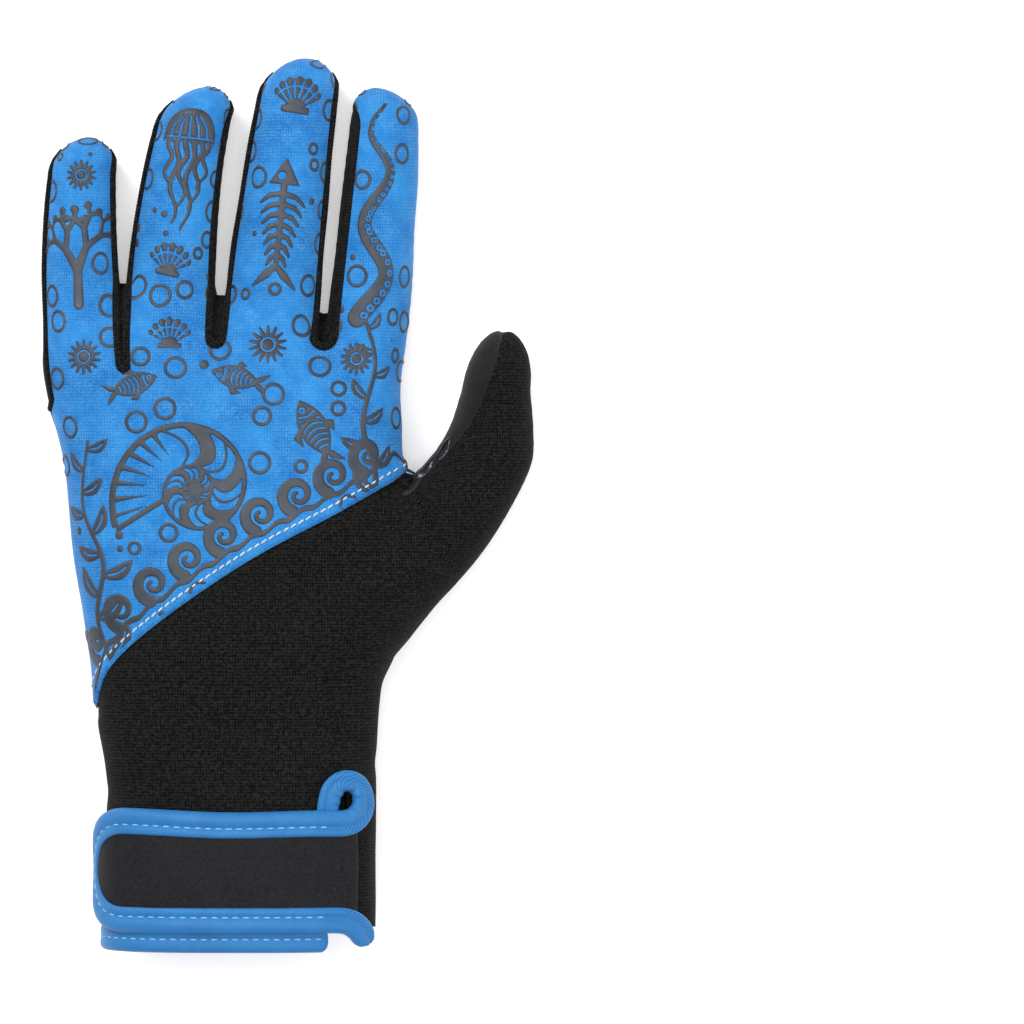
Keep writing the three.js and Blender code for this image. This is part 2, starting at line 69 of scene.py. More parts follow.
# %% [markdown]
# ## Sizes
# A glove is sewn from flat panels, yet once filled it is one smooth body that branches into
# five digits. The same few sizes and short tables that shape the solids shape that body here:
# each row is a section, and its numbers are shares of the named sizes. Lengths are millimetres,
# measured from the hem and from the hand's middle line.

# %% Sizes and tables of sections
HAND_LENGTH = 182.0
HAND_WIDTH = 100.0
HAND_HEIGHT = 29.5
KNUCKLE_ROUND = 28.0
KNUCKLE_SLANT = 0.18
CROTCH_HEIGHT = 9.0
THUMB_LENGTH = 92.0
THUMB_REACH = 50.0
THUMB_WIDTH = 23.6
THUMB_HEIGHT = 20.5
THUMB_TIP = 17.0
THUMB_TIP_LEAN = 2.0
THUMB_ROOT_ACROSS = 0.281
THUMB_ROOT_ALONG = 0.449
WALL = 2.2
FLAT = 1.2
SIDE_SEAM_HEIGHT = 6.0
VENT_PLACE = 33.6
VENT_WIDTH = 3.0
VENT_LENGTH = 44.0


def table(names, rows):
    """A table with named columns, each an array down the rows."""
    return dict(zip(names.split(), np.array(rows, float).T))


HAND_ROWS = table("along left right height rest", [
    (0, -0.329, 0.427, 1.14, -1.5),
    (0.134, -0.329, 0.427, 1.12, -1),
    (0.264, -0.329, 0.43, 1.08, 0.2),
    (0.356, -0.357, 0.434, 1.04, 1),
    (0.449, -0.376, 0.455, 1.05, 1),
    (0.579, -0.419, 0.48, 1.05, 1),
    (0.708, -0.449, 0.495, 1.01, 1),
    (0.845, -0.489, 0.492, 0.94, 1),
])
FINGER_REACH = 96.4
FINGER_WIDTH = 27.3
FINGER_HEIGHT = 21.0
FINGER_SHARES = table("root reach width height lean bow apex", [
    (-0.376, 0.77, 0.828, 0.857, -0.018, -0.019, 0.022),
    (-0.138, 0.915, 0.938, 0.952, 0.079, -0.04, 0.051),
    (0.116, 1, 1, 1, 0.112, -0.011, 0.007),
    (0.374, 0.913, 0.857, 0.929, 0.081, 0.004, -0.095),
])
FINGER_UNITS = dict(root=HAND_WIDTH, reach=FINGER_REACH, width=FINGER_WIDTH, height=FINGER_HEIGHT,
                    lean=FINGER_REACH, bow=FINGER_REACH, apex=FINGER_WIDTH)
FINGERS = [{key: FINGER_SHARES[key][i] * unit for key, unit in FINGER_UNITS.items()} for i in range(4)]
FINGER_ROWS = table("along width height", [
    (-0.34, 0.55, 0.9), (0, 0.97, 1.1), (0.34, 1, 1.02), (0.68, 0.94, 0.97), (1, 0.85, 0.88),
])
THUMB_ROWS = table("along across width height", [
    (0, 0, 1.5, 1.3), (0.18, 0.23, 1.62, 1.34), (0.36, 0.478, 1.6, 1.3), (0.54, 0.69, 1.46, 1.2),
    (0.72, 0.878, 1.22, 1.06), (0.85, 0.94, 1, 0.98), (1, 0.965, 0.82, 0.9),
])
SLOTS = [
    dict(name="gusset_little_ring", fingers=(0, 1), bottom=0.887, seams=(0.82, 0.88)),
    dict(name="gusset_ring_middle", fingers=(1, 2), bottom=0.924, seams=(0.8, 0.88)),
    dict(name="gusset_middle_index", fingers=(2, 3), bottom=0.921, seams=(0.85, 0.6)),
]
LITTLE_SIDE_SEAM = 0.88
LITTLE_SIDE_BOTTOM = 0.8
LITTLE_SIDE_SLANT = 0.32  # how fast the strip runs out below the knuckles
GUSSET_END = 0.72
CROSS_SEAM = table("across along", [
    (0.52, 0.733), (0.326, 0.671), (0.076, 0.597), (-0.169, 0.505), (-0.317, 0.431), (-0.36, 0.36),
])
HEEL_SEAM = 0.3
THUMB_SEAM = table("along across", [
    (0.5, -1), (0.58, -0.86), (0.72, -0.5), (0.88, -0.12), (1.04, 0.12),
])
knuckle_line = HAND_ROWS["along"][-1] * HAND_LENGTH
thumb_root = THUMB_ROOT_ALONG * HAND_LENGTH

# The tape round the cuff starts at the hem and stands this far out of the hand's body, so its
# solid tells where the hem and the hand's middle line lie in the frame.
TAPE_STANDS_OUT = 1.4
cuff_low = np.array(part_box("cuff_binding")[0]) * 1000
shift = np.array([cuff_low[0] - HAND_ROWS["left"][0] * HAND_WIDTH + TAPE_STANDS_OUT, cuff_low[1], 0.0])
print("hem and middle line, mm:", shift.round(2))

# %% [markdown]
# ## The body as a field
# A single grid can't cover a hand: it branches. The body is therefore written as a field, a
# function that is negative inside and positive outside, with one term for the palm, one for
# each finger and one for the thumb. Terms are blended with a smooth minimum, which rounds the
# webs between the digits the way stretched neoprene does.

# %% Read a table smoothly
def curve(rows, key, share):
    """Cubic through the rows of one column, with the slopes of its neighbours."""
    along, value = rows["along"], rows[key]
    last = len(along) - 1
    i = np.clip(np.searchsorted(along, share, side="right") - 1, 0, last - 1)
    before, after = np.maximum(i - 1, 0), np.minimum(i + 2, last)
    span = along[i + 1] - along[i]
    t = np.clip((share - along[i]) / span, 0, 1)
    start = (value[i + 1] - value[before]) / (along[i + 1] - along[before]) * span
    end = (value[after] - value[i]) / (along[after] - along[i]) * span
    rise = value[i + 1] - value[i]
    return value[i] + t * (start + t * (3 * rise - 2 * start - end + t * (start + end - 2 * rise)))


FINE = 1500  # places at which each curve is worked out once, to be looked up after


def column(rows, key, share):
    """The curve through one column, looked up between places worked out beforehand."""
    if "fine" not in rows:
        rows["fine"] = {"share": np.linspace(rows["along"][0], rows["along"][-1], FINE)}
    fine = rows["fine"]
    if key not in fine:
        fine[key] = curve(rows, key, fine["share"])
    return np.interp(share, fine["share"], fine[key])


def smoothstep(value, low, high):
    """0 below low, 1 above high, and an S-shaped cubic between."""
    t = np.clip((value - low) / (high - low), 0, 1)
    return t * t * (3 - 2 * t)


def finger_at(finger, y):
    """Middle x and z, half sizes a and b, and t, the share of the round end passed at y."""
    end = finger["width"] / 2
    start = knuckle_line + finger["reach"] - end
    share = np.minimum((y - knuckle_line) / (finger["reach"] - end), 1)
    whole = (y - knuckle_line) / finger["reach"]
    t = np.maximum((y - start) / end, 0)
    b = column(FINGER_ROWS, "height", share) * finger["height"] / 2
    bend = finger["lean"] * whole + finger["bow"] * 4 * whole * (1 - whole)
    x = finger["root"] + bend + finger["apex"] * np.minimum(t, 1) ** 2
    return x, b - FLAT, column(FINGER_ROWS, "width", share) * finger["width"] / 2, b, t


def thumb_at(y):
    """Middle x and z, half sizes a and b, and t, the share of the round end passed at y."""
    start = thumb_root + THUMB_LENGTH - THUMB_TIP
    share = np.clip((y - thumb_root) / (THUMB_LENGTH - THUMB_TIP), 0, 1)
    t = np.maximum((y - start) / THUMB_TIP, 0)
    b = column(THUMB_ROWS, "height", share) * THUMB_HEIGHT / 2
    across = column(THUMB_ROWS, "across", share) * THUMB_REACH + THUMB_TIP_LEAN * np.minimum(t, 1)
    a = column(THUMB_ROWS, "width", share) * THUMB_WIDTH / 2
    return THUMB_ROOT_ACROSS * HAND_WIDTH + across, b - FLAT, a, b, t


# %% The three kinds of term
ROOT_ROUND = 12.0  # length over which a digit's hidden root rounds off inside the hand


def digit_term(x, z, at, below, end):
    """(u^2 + w^2 + t^2 - 1) over its slope, u and w across and up in half sizes."""
    middle, height, a, b, t = at
    u, w = (x - middle) / a, (z - height) / b
    root = np.maximum(below, 0) / ROOT_ROUND
    slope = 2 * np.sqrt((u / a) ** 2 + (w / b) ** 2 + (t / end) ** 2 + 1e-3)
    return (u * u + w * w + t * t + root * root - 1) / slope


def hand_term(x, y, z):
    """(|u|^3 + w^2 + t^2 - 1) over its slope, on rows that slant towards the knuckles."""
    y = y + KNUCKLE_SLANT * x * smoothstep(y, knuckle_line / 2, knuckle_line)
    share = y / HAND_LENGTH
    left = column(HAND_ROWS, "left", share) * HAND_WIDTH
    right = column(HAND_ROWS, "right", share) * HAND_WIDTH
    a = (right - left) / 2
    b = column(HAND_ROWS, "height", share) * HAND_HEIGHT / 2
    t = np.maximum((y - knuckle_line) / KNUCKLE_ROUND, 0)
    middle = b - column(HAND_ROWS, "rest", share) * FLAT
    middle = middle + (CROTCH_HEIGHT - middle) * np.minimum(t, 1) ** 2
    u, w = np.abs(x - (left + right) / 2) / a, (z - middle) / b
    slope = np.sqrt((3 * u * u / a) ** 2 + (2 * w / b) ** 2 + (2 * t / KNUCKLE_ROUND) ** 2 + 4e-3)
    return (u ** 3 + w * w + t * t - 1) / slope


def blend(p, q, reach):
    """Smooth minimum of two fields: the smaller, less a parabola where they nearly meet."""
    h = np.maximum(reach - np.abs(p - q), 0) / reach
    return np.minimum(p, q) - h * h * reach / 4


# %% Blend the terms and press the underside flat
FINGER_WEB = 5.0
THUMB_WEB = 11.0
FLOOR_EDGE = 1.6
FLOOR_CLEAR = 0.3  # the print under the palm is what touches the floor


def body(x, y, z):
    """The filled glove before any seam pulls at it: negative inside, about millimetres."""
    fingers = None
    for finger in FINGERS:
        root = knuckle_line + FINGER_ROWS["along"][0] * (finger["reach"] - finger["width"] / 2)
        term = digit_term(x, z, finger_at(finger, y), root + ROOT_ROUND / 2 - y, finger["width"] / 2)
        fingers = term if fingers is None else np.minimum(fingers, term)
    thumb = digit_term(x, z, thumb_at(y), thumb_root + ROOT_ROUND / 2 - y, THUMB_TIP)
    glove = blend(blend(hand_term(x, y, z), fingers, FINGER_WEB), thumb, THUMB_WEB)
    return -blend(-glove, z - FLOOR_CLEAR, FLOOR_EDGE)


# %% [markdown]
# ## Seam lines
# Every seam is a curve seen from above, or a height on the side. Each is kept as a function
# that gives the distance to it in millimetres, positive on one side. The same functions cut
# the skin into panels, pull it down into the seam, and lay the rolled edges and stitches.

# %% Distances to the seams
def spline(points, steps=24):
    """Catmull-Rom curve through the points, as a dense polyline."""
    p = np.vstack([2 * points[0] - points[1], points, 2 * points[-1] - points[-2]])
    t = np.linspace(0, 1, steps, endpoint=False)[:, None]
    parts = []
    for a, b, c, d in zip(p[:-3], p[1:-2], p[2:-1], p[3:]):
        square, cube = a - 2.5 * b + 2 * c - d / 2, 1.5 * (b - c) + (d - a) / 2
        parts.append(b + t * ((c - a) / 2 + t * (square + t * cube)))
    return np.vstack(parts + [points[-1:]])


def from_line(x, y, line):
    """Distance from a polyline in plan, positive on its left as it runs."""
    x, y = np.asarray(x, float), np.asarray(y, float)
    best = np.full(x.shape, np.inf)
    side = np.ones(x.shape)
    for (x0, y0), (x1, y1) in zip(line[:-1], line[1:]):
        dx, dy = x1 - x0, y1 - y0
        ux, uy = x - x0, y - y0
        t = np.clip((ux * dx + uy * dy) / (dx * dx + dy * dy), 0, 1)
        away = (ux - t * dx) ** 2 + (uy - t * dy) ** 2
        nearer = away < best - 1e-9
        best = np.where(nearer, away, best)
        side = np.where(nearer, np.sign(dx * uy - dy * ux), side)
    return np.sqrt(best) * side


cross_points = np.column_stack([CROSS_SEAM["across"] * HAND_WIDTH, CROSS_SEAM["along"] * HAND_LENGTH])
CROSS_TAIL = np.array([-30.0, -22.0])  # the seam runs on round the hand's edge, out of sight
cross_line = spline(cross_points, 4)
cross_line = np.vstack([cross_line[:1] + [14.0, 9.0], cross_line, cross_line[-1:] + CROSS_TAIL])

thumb_seam_y = thumb_root + THUMB_SEAM["along"] * THUMB_LENGTH
thumb_mid, _, thumb_half, _, _ = thumb_at(thumb_seam_y)
thumb_line = spline(np.column_stack([thumb_mid + THUMB_SEAM["across"] * thumb_half, thumb_seam_y]), 4)


def cross_seam(x, y):
    """Positive on the gauntlet's side of the seam across the back, the thumb included."""
    beyond_web = np.minimum(x - cross_points[0][0] - 3, y - cross_points[0][1] + 10)
    return np.maximum(from_line(x, y, cross_line), beyond_web)


def thumb_inner(x, y):
    """Positive on the suede inner side of the thumb."""
    web = thumb_line[0]
    return np.minimum(np.minimum(from_line(x, y, thumb_line), x - web[0] - (y - web[1]) * 0.3), y - web[1])


def seam_edge(finger, y, seam, side):
    """Plan x of the seam beside a finger; it slides out to the finger's edge near the tip."""
    x, _, a, _, t = finger_at(finger, y)
    closing = 1 - np.clip(t / GUSSET_END, 0, 1) ** 2
    share = 1 / np.sqrt(1 + (closing * np.sqrt(1 - seam * seam) / seam) ** 2)
    return x + side * share * a * np.sqrt(np.maximum(1 - t * t, 0))


def slot_shape(slot):
    """Middle, radius and centre height of the round bottom of a slot between two fingers."""
    left, right = (FINGERS[i] for i in slot["fingers"])
    y = np.array(slot["bottom"] * HAND_LENGTH)
    x0, x1 = seam_edge(left, y, slot["seams"][0], 1), seam_edge(right, y, slot["seams"][1], -1)
    return (x0 + x1) / 2, (x1 - x0) / 2, y + (x1 - x0) / 2


def slot_region(slot, x, y):
    """Positive inside the slot: between its two edges, and inside its round bottom."""
    left, right = (FINGERS[i] for i in slot["fingers"])
    middle, radius, centre = slot_shape(slot)
    level = np.maximum(y, centre)
    sides = np.minimum(x - seam_edge(left, level, slot["seams"][0], 1),
                       seam_edge(right, level, slot["seams"][1], -1) - x)
    disc = radius - np.hypot(x - middle, np.minimum(y - centre, 0))
    return np.where(y > centre, sides, disc)


def little_side(x, y):
    """Positive on the strip along the little finger's outer side."""
    strip = seam_edge(FINGERS[0], np.maximum(y, knuckle_line), LITTLE_SIDE_SEAM, -1)
    fall = np.maximum(knuckle_line - y, 0) * LITTLE_SIDE_SLANT
    return np.minimum(strip - fall - x, y - LITTLE_SIDE_BOTTOM * HAND_LENGTH)


# %% [markdown]
# ## Dents, puckers and folds
# Cloth is never as smooth as its pattern. A seam pulls the skin down beside it and puckers it
# at the pitch of its stitches, and filled neoprene is softly uneven. These small moves are
# added to the field itself, so panels that meet still meet after them.

# %% Unevenness of filled cloth
rng = np.random.default_rng(7)
WAVES = 9
wave_turn = rng.uniform(0, 2 * pi, WAVES)
wave_step = rng.uniform(0.11, 0.3, WAVES)
wave_start = rng.uniform(0, 2 * pi, (WAVES, 2))


def unevenness(x, y, z):
    """A sum of slow waves in turned directions, each multiplied by one along z."""
    total = np.zeros(np.broadcast(x, y, z).shape)
    for turn, step, (a, b) in zip(wave_turn, wave_step, wave_start):
        total = total + np.sin(step * (x * np.cos(turn) + y * np.sin(turn)) + a) * np.sin(step * z + b)
    return total / WAVES


SEAM_REACH = 1.3
CROSS_SEAM_DEPTH = 0.15
THUMB_SEAM_DEPTH = 0.7
SIDE_SEAM_DEPTH = 0.45
SIDE_SEAM_STARTS = (52, 60)  # heights above the hem over which the side seam's dip comes in
PUCKER_PITCH = 4.6
PUCKER_DEPTH = 0.045
PUCKER_REACH = 3.5


def seam_pull(distance, along, depth):
    """A narrow dip on the seam and shallow puckers that fade within a few millimetres."""
    d = np.abs(distance)
    pucker = PUCKER_DEPTH * np.sin(2 * pi * along / PUCKER_PITCH) * np.exp(-(d / PUCKER_REACH) ** 2)
    return depth * np.exp(-(d / SEAM_REACH) ** 2) + pucker


FOLDS = table("x0 y0 x1 y1 depth reach", [
    (51, 130, 63, 108, 1.2, 3.2),
    (44, 126, 56, 100, 0.7, 4.5),
    (-30, 44, -14, 52, 0.5, 3.5),
    (40, 52, 30, 62, 0.6, 3.6),
    (38, 70, 24, 76, 0.5, 4.0),
])


def folds(x, y):
    """Soft creases along short lines in plan."""
    total = 0.0
    for x0, y0, x1, y1, depth, reach in zip(*FOLDS.values()):
        away = from_line(x, y, [(x0, y0), (x1, y1)])
        total = total + depth * np.exp(-(away / reach) ** 2)
    return total


UNEVEN = 0.5  # height of the slow waves in the cloth
EDGE_PROUD = 0.6  # how far the blue cloth's folded edge stands out
EDGE_REACH = 3.4
EDGE_DROP = 0.55  # how far it rolls down on the seam itself
TUCK_DEPTH = 0.4  # how far the black cloth sinks under it
TUCK_REACH = 1.6
SLOT_DEPTH = 0.9  # how far the strips between the fingers lie below the backs


def upper_share(z):
    """0 under the side seam and 1 above it."""
    return smoothstep(z, SIDE_SEAM_HEIGHT - 1, SIDE_SEAM_HEIGHT + 1)


def skin(p):
    """The field of the finished outside at points p, one row each."""
    x, y, z = p.T
    upper = upper_share(z)
    off_floor = smoothstep(z, 0.4, 2.5)
    pull = seam_pull(cross_seam(x, y), x, CROSS_SEAM_DEPTH) * upper
    pull = pull + seam_pull(thumb_inner(x, y), y, THUMB_SEAM_DEPTH) * upper
    side_pull = seam_pull(z - SIDE_SEAM_HEIGHT, x + y, SIDE_SEAM_DEPTH)
    pull = pull + side_pull * smoothstep(y, *SIDE_SEAM_STARTS)
    return body(x, y, z) + off_floor * (pull + folds(x, y) * upper - UNEVEN * unevenness(x, y, z))


def back_field(p):
    """The blue cloth: its folded edge stands proud along the cross seam and rolls down."""
    d = -cross_seam(p[:, 0], p[:, 1])
    proud = EDGE_PROUD * np.exp(-(d / EDGE_REACH) ** 2) - EDGE_DROP * np.exp(-(np.maximum(d, 0) / 0.4) ** 2)
    return skin(p) - proud * upper_share(p[:, 2])


def gauntlet_field(p):
    """The black cloth sinks where it passes under the blue edge."""
    d = np.maximum(cross_seam(p[:, 0], p[:, 1]), 0)
    return skin(p) + TUCK_DEPTH * np.exp(-(d / TUCK_REACH) ** 2) * upper_share(p[:, 2])


def slot_field(p):
    """The strips between the fingers lie a little deeper than the backs beside them."""
    deepest = np.max([slot_region(slot, p[:, 0], p[:, 1]) for slot in SLOTS], axis=0)
    return skin(p) + SLOT_DEPTH * smoothstep(deepest, 0.3, 2.2) * upper_share(p[:, 2])


# %% [markdown]
# ## From field to skin
# The field is sampled on a grid of small cubes, and each cube that the surface passes through
# gets one point, the mean of the places where the cube's edges are crossed. Joining the points
# of neighbouring cubes gives an even skin with no poles. A few Newton steps then set each point
# exactly on the surface, and triangles that a seam crosses are split along it.

# %% Helpers that mesh, settle and cut a skin
def net(field, low, high, pitch):
    """Points and quads of the zero surface of a field in a box, one point per crossed cube."""
    axes = [np.arange(a, b + pitch, pitch) for a, b in zip(low, high)]
    x, y, z = np.meshgrid(*axes, indexing="ij", sparse=True)
    value = field(x, y, z)
    inside = value < 0
    corner = [np.array([i, j, k]) for i in (0, 1) for j in (0, 1) for k in (0, 1)]
    cells = tuple(n - 1 for n in inside.shape)
    count = sum(inside[i:i + cells[0], j:j + cells[1], k:k + cells[2]].astype(int) for i, j, k in corner)
    cell = np.argwhere((count > 0) & (count < 8))
    total, hits = np.zeros(cell.shape), np.zeros((len(cell), 1))
    for a in corner:
        for axis in range(3):
            if a[axis]:
                continue
            step = np.eye(3, dtype=int)[axis]
            v0, v1 = value[tuple((cell + a).T)], value[tuple((cell + a + step).T)]
            crossed = (v0 < 0) != (v1 < 0)
            t = np.where(crossed, v0 / np.where(crossed, v0 - v1, 1), 0)[:, None]
            total += crossed[:, None] * (a + t * step)
            hits += crossed[:, None]
    points = (cell + total / hits) * pitch + np.array([axis[0] for axis in axes])
    number = np.full(cells, -1)
    number[tuple(cell.T)] = np.arange(len(cell))
    quads = []
    for axis in range(3):
        step = np.eye(3, dtype=int)[axis]
        one, two = np.eye(3, dtype=int)[(axis + 1) % 3], np.eye(3, dtype=int)[(axis + 2) % 3]
        ends = tuple(slice(0, n - s) for n, s in zip(inside.shape, step))
        starts = tuple(slice(s, n) for n, s in zip(inside.shape, step))
        edge = np.argwhere(inside[ends] != inside[starts])
        edge = edge[(edge[:, (axis + 1) % 3] > 0) & (edge[:, (axis + 2) % 3] > 0)]
        edge = edge[(edge < np.array(cells)).all(1)]
        ring = [number[tuple((edge - shift_by).T)] for shift_by in (one + two, two, 0 * one, one)]
        quad = np.column_stack(ring)
        outward = inside[tuple(edge.T)]
        quads.append(np.where(outward[:, None], quad, quad[:, ::-1]))
    quads = np.vstack(quads)
    return points, quads[(quads >= 0).all(1)]


def gradient(field, p, step=0.05):
    """Central differences of a field at points."""
    parts = [(field(p + step * e) - field(p - step * e)) / (2 * step) for e in np.eye(3)]
    return np.column_stack(parts)


def unit(vectors):
    """The same directions, one long."""
    return vectors / np.linalg.norm(vectors, axis=1, keepdims=True)


def settle(field, p, rounds=3, most=0.5):
    """Newton steps that bring points onto the field's zero surface, at most so far each."""
    for _ in range(rounds):
        slope = gradient(field, p)
        size = (slope ** 2).sum(1, keepdims=True) + 1e-6
        move = -field(p)[:, None] * slope / size
        length = np.linalg.norm(move, axis=1, keepdims=True) + 1e-9
        p = p + move * np.minimum(1, most / length)
    return p


SNAP = 0.04  # the least distance that a point keeps from a cut, so that no sliver is made


def cut(points, faces, distance, field):
    """Split the triangles that a line crosses, so that no triangle lies on both of its sides."""
    value = distance(points)
    value = np.where(np.abs(value) < SNAP, SNAP * np.where(value < 0, -1, 1), value)
    sign = value[faces] > 0
    mixed = sign.any(1) & ~sign.all(1)
    tri, s = faces[mixed], sign[mixed]
    lone = np.where(s.sum(1) == 1, s.argmax(1), (~s).argmax(1))
    row = np.arange(len(tri))
    a, b, c = tri[row, lone], tri[row, (lone + 1) % 3], tri[row, (lone + 2) % 3]
    edges = np.sort(np.vstack([np.column_stack([a, b]), np.column_stack([a, c])]), axis=1)
    unique, place = np.unique(edges, axis=0, return_inverse=True)
    place = place.ravel()
    v0, v1 = value[unique[:, 0]], value[unique[:, 1]]
    t = (v0 / (v0 - v1))[:, None]
    fresh = points[unique[:, 0]] * (1 - t) + points[unique[:, 1]] * t
    fresh = settle(field, fresh, 1, 0.1)
    p, q = place[:len(tri)] + len(points), place[len(tri):] + len(points)
    split = [np.column_stack(corners) for corners in ((a, p, q), (p, b, c), (p, c, q))]
    return np.vstack([points, fresh]), np.vstack([faces[~mixed], *split])


# %% Make Blender meshes from arrays
def to_frame(p):
    """From millimetres at the hem's middle line to metres in the frame of the solids."""
    return (p + shift) / 1000


def mesh_piece(name, points, face_list):
    """A mesh object from points in millimetres and a list of faces, smooth all over."""
    mesh = bpy.data.meshes.new(name)
    mesh.from_pydata(to_frame(points).tolist(), [], face_list)
    mesh.polygons.foreach_set("use_smooth", np.ones(len(mesh.polygons), bool))
    mesh.update()
    piece = bpy.data.objects.new(name, mesh)
    bpy.context.scene.collection.objects.link(piece)
    return piece


def make_piece(name, points, faces, normals=None):
    """A mesh object of one array of triangles or quads, without the points that they leave out."""
    used, place = np.unique(faces, return_inverse=True)
    piece = mesh_piece(name, points[used], place.reshape(faces.shape).tolist())
    if normals is not None:
        piece.data.normals_split_custom_set_from_vertices(normals[used].tolist())
    return piece


# %% The outside of the whole glove, split along every seam
RISE_PLACE = 36.0  # where the cuff's edge rises, in plan
RISE_WIDTH = 8.5
RISE_HEIGHT = 7.0
HEM_TRIM = 1.5  # the bound cloth ends this far above the hem


def hem_rise(x):
    """How far the cuff's edge rises behind the strap, at the vent."""
    return RISE_HEIGHT * np.exp(-((x - RISE_PLACE) / RISE_WIDTH) ** 4)


SKIN_PITCH = 0.75
LOW = (-60.0, -1.0, -1.5)
HIGH = (92.0, 254.0, 40.0)
points, quads = net(body, LOW, HIGH, SKIN_PITCH)
points = settle(skin, points)
faces = np.vstack([quads[:, [0, 1, 2]], quads[:, [0, 2, 3]]])
seams = [
    lambda p: p[:, 2] - SIDE_SEAM_HEIGHT,
    lambda p: p[:, 1] - HEEL_SEAM * HAND_LENGTH,
    lambda p: cross_seam(p[:, 0], p[:, 1]),
    lambda p: thumb_inner(p[:, 0], p[:, 1]),
    lambda p: little_side(p[:, 0], p[:, 1]),
    lambda p: p[:, 1] - HEM_TRIM,
    lambda p: np.minimum(VENT_WIDTH / 2 - np.abs(p[:, 0] - VENT_PLACE), VENT_LENGTH - p[:, 1]),
    lambda p: p[:, 1] - hem_rise(p[:, 0]) - HEM_TRIM,
]
seams += [lambda p, slot=slot: slot_region(slot, p[:, 0], p[:, 1]) for slot in SLOTS]
for seam in seams:
    points, faces = cut(points, faces, seam, skin)
print("skin:", len(points), "points,", len(faces), "triangles")

# %% Sort the triangles into panels
middle = points[faces].mean(1)
mx, my, mz = middle.T
above = mz > SIDE_SEAM_HEIGHT
heel = my < HEEL_SEAM * HAND_LENGTH
inner = above & ~heel & (thumb_inner(mx, my) > 0)
gauntlet = (heel | (above & (cross_seam(mx, my) > 0))) & ~inner
slots = [above & ~gauntlet & ~inner & (slot_region(slot, mx, my) > 0) for slot in SLOTS]
side_strip = above & ~gauntlet & (little_side(mx, my) > 0)
palm = (~above & ~heel) | inner
back = above & ~gauntlet & ~inner & ~side_strip & ~np.logical_or.reduce(slots)
on_vent = (mz > HAND_HEIGHT / 2) & (np.abs(mx - VENT_PLACE) < VENT_WIDTH / 2) & (my < VENT_LENGTH)
gauntlet &= ~on_vent & (my > hem_rise(mx) + HEM_TRIM)

# %% Dress each panel
SIDE_LET_OUT = 7.0  # length of cloth let out where it turns down at the sides
SKIRT = 1.2  # depth of the cloth turned in at every seam


def skirt(points, faces, normals, depth):
    """A strip that turns inwards from the free edges of a panel, so that no seam gapes."""
    edges = np.vstack([faces[:, [0, 1]], faces[:, [1, 2]], faces[:, [2, 0]]])
    _, first, count = np.unique(np.sort(edges, axis=1), axis=0, return_index=True, return_counts=True)
    edges = edges[first[count == 1]]
    used, place = np.unique(edges, return_inverse=True)
    a, b = place.reshape(edges.shape).T + len(points)
    deep = points[used] - depth * normals[used]
    p, q = edges.T
    strip = np.vstack([np.column_stack([p, a, b]), np.column_stack([p, b, q])])
    return np.vstack([points, deep]), np.vstack([faces, strip]), np.vstack([normals, normals[used]])


def unrolled(p, n):
    """Plan place of cloth points, let out where the cloth turns down at the sides."""
    return p[:, :2] + SIDE_LET_OUT * n[:, :2] ** 3


def dress(name, chosen, field):
    """One panel: its triangles set on its own field, with a skirt and the weave's own map."""
    used, place = np.unique(faces[chosen], return_inverse=True)
    own = settle(field, points[used], 2, 0.8)
    slope = unit(gradient(field, own))
    own, triangles, slope = skirt(own, place.reshape(-1, 3), slope, SKIRT)
    piece = make_piece(name, own, triangles, slope)
    set_weave(piece, unrolled(own, slope))
    print(name, len(triangles), "triangles")
    return piece


def set_weave(piece, plan):
    """Store where each point lies on the flat cloth, in metres, for the material to read."""
    flat = np.column_stack([plan, np.zeros(len(plan))]) / 1000
    piece.data.attributes.new("weave", "FLOAT_VECTOR", "POINT").data.foreach_set("vector", flat.ravel())


pieces = {
    "back_skin": dress("back_skin", back, back_field),
    "gauntlet_skin": dress("gauntlet_skin", gauntlet, gauntlet_field),
    "palm_skin": dress("palm_skin", palm, skin),
    "little_side_skin": dress("little_side_skin", side_strip, skin),
}
for slot, chosen in zip(SLOTS, slots):
    name = slot["name"].replace("gusset", "skin")
    pieces[name] = dress(name, chosen, slot_field)
    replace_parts(pieces[name], slot["name"])
for name, node in (("back", "back_panel"), ("gauntlet", "gauntlet_panel"), ("palm", "palm_panel"),
                   ("little_side", "gusset_little_side")):
    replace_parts(pieces[name + "_skin"], node)
MATERIAL_SLOTS = {"back_skin": "blue_neoprene", "palm_skin": "suede"}

# %% The inside, seen through the cuff
INSIDE_PITCH = 2.4
INSIDE_TRIM = 0.8


def inside(x, y, z):
    """The field of the wall's inner face."""
    return body(x, y, z) + WALL


hollow_points, hollow_quads = net(inside, LOW, HIGH, INSIDE_PITCH)
clear = hollow_points[:, 1] > INSIDE_TRIM + 1.1 * hem_rise(hollow_points[:, 0])
keep = clear[hollow_quads].all(1)
pieces["glove_inside"] = make_piece("glove_inside", hollow_points, hollow_quads[keep][:, ::-1])
set_weave(pieces["glove_inside"], hollow_points[:, :2][np.unique(hollow_quads[keep])])
print("inside:", int(keep.sum()), "quads")

# %% [markdown]
# ## Rolled edges
# The black strips between the fingers end in a rolled edge that hugs the blue cloth: a thin
# tube swept along the seam, laid on the skin, with the slant of its overlock thread worked
# into its radius.

# %% Sweep a section along a path
def along(path):
    """Distance run at each point of a path."""
    return np.concatenate([[0], np.cumsum(np.linalg.norm(np.diff(path, axis=0), axis=1))])


def resample(path, step):
    """The same path with points an even step apart."""
    run = along(path)
    even = np.linspace(0, run[-1], max(int(run[-1] / step), 4))
    return np.column_stack([np.interp(even, run, column_) for column_ in path.T])


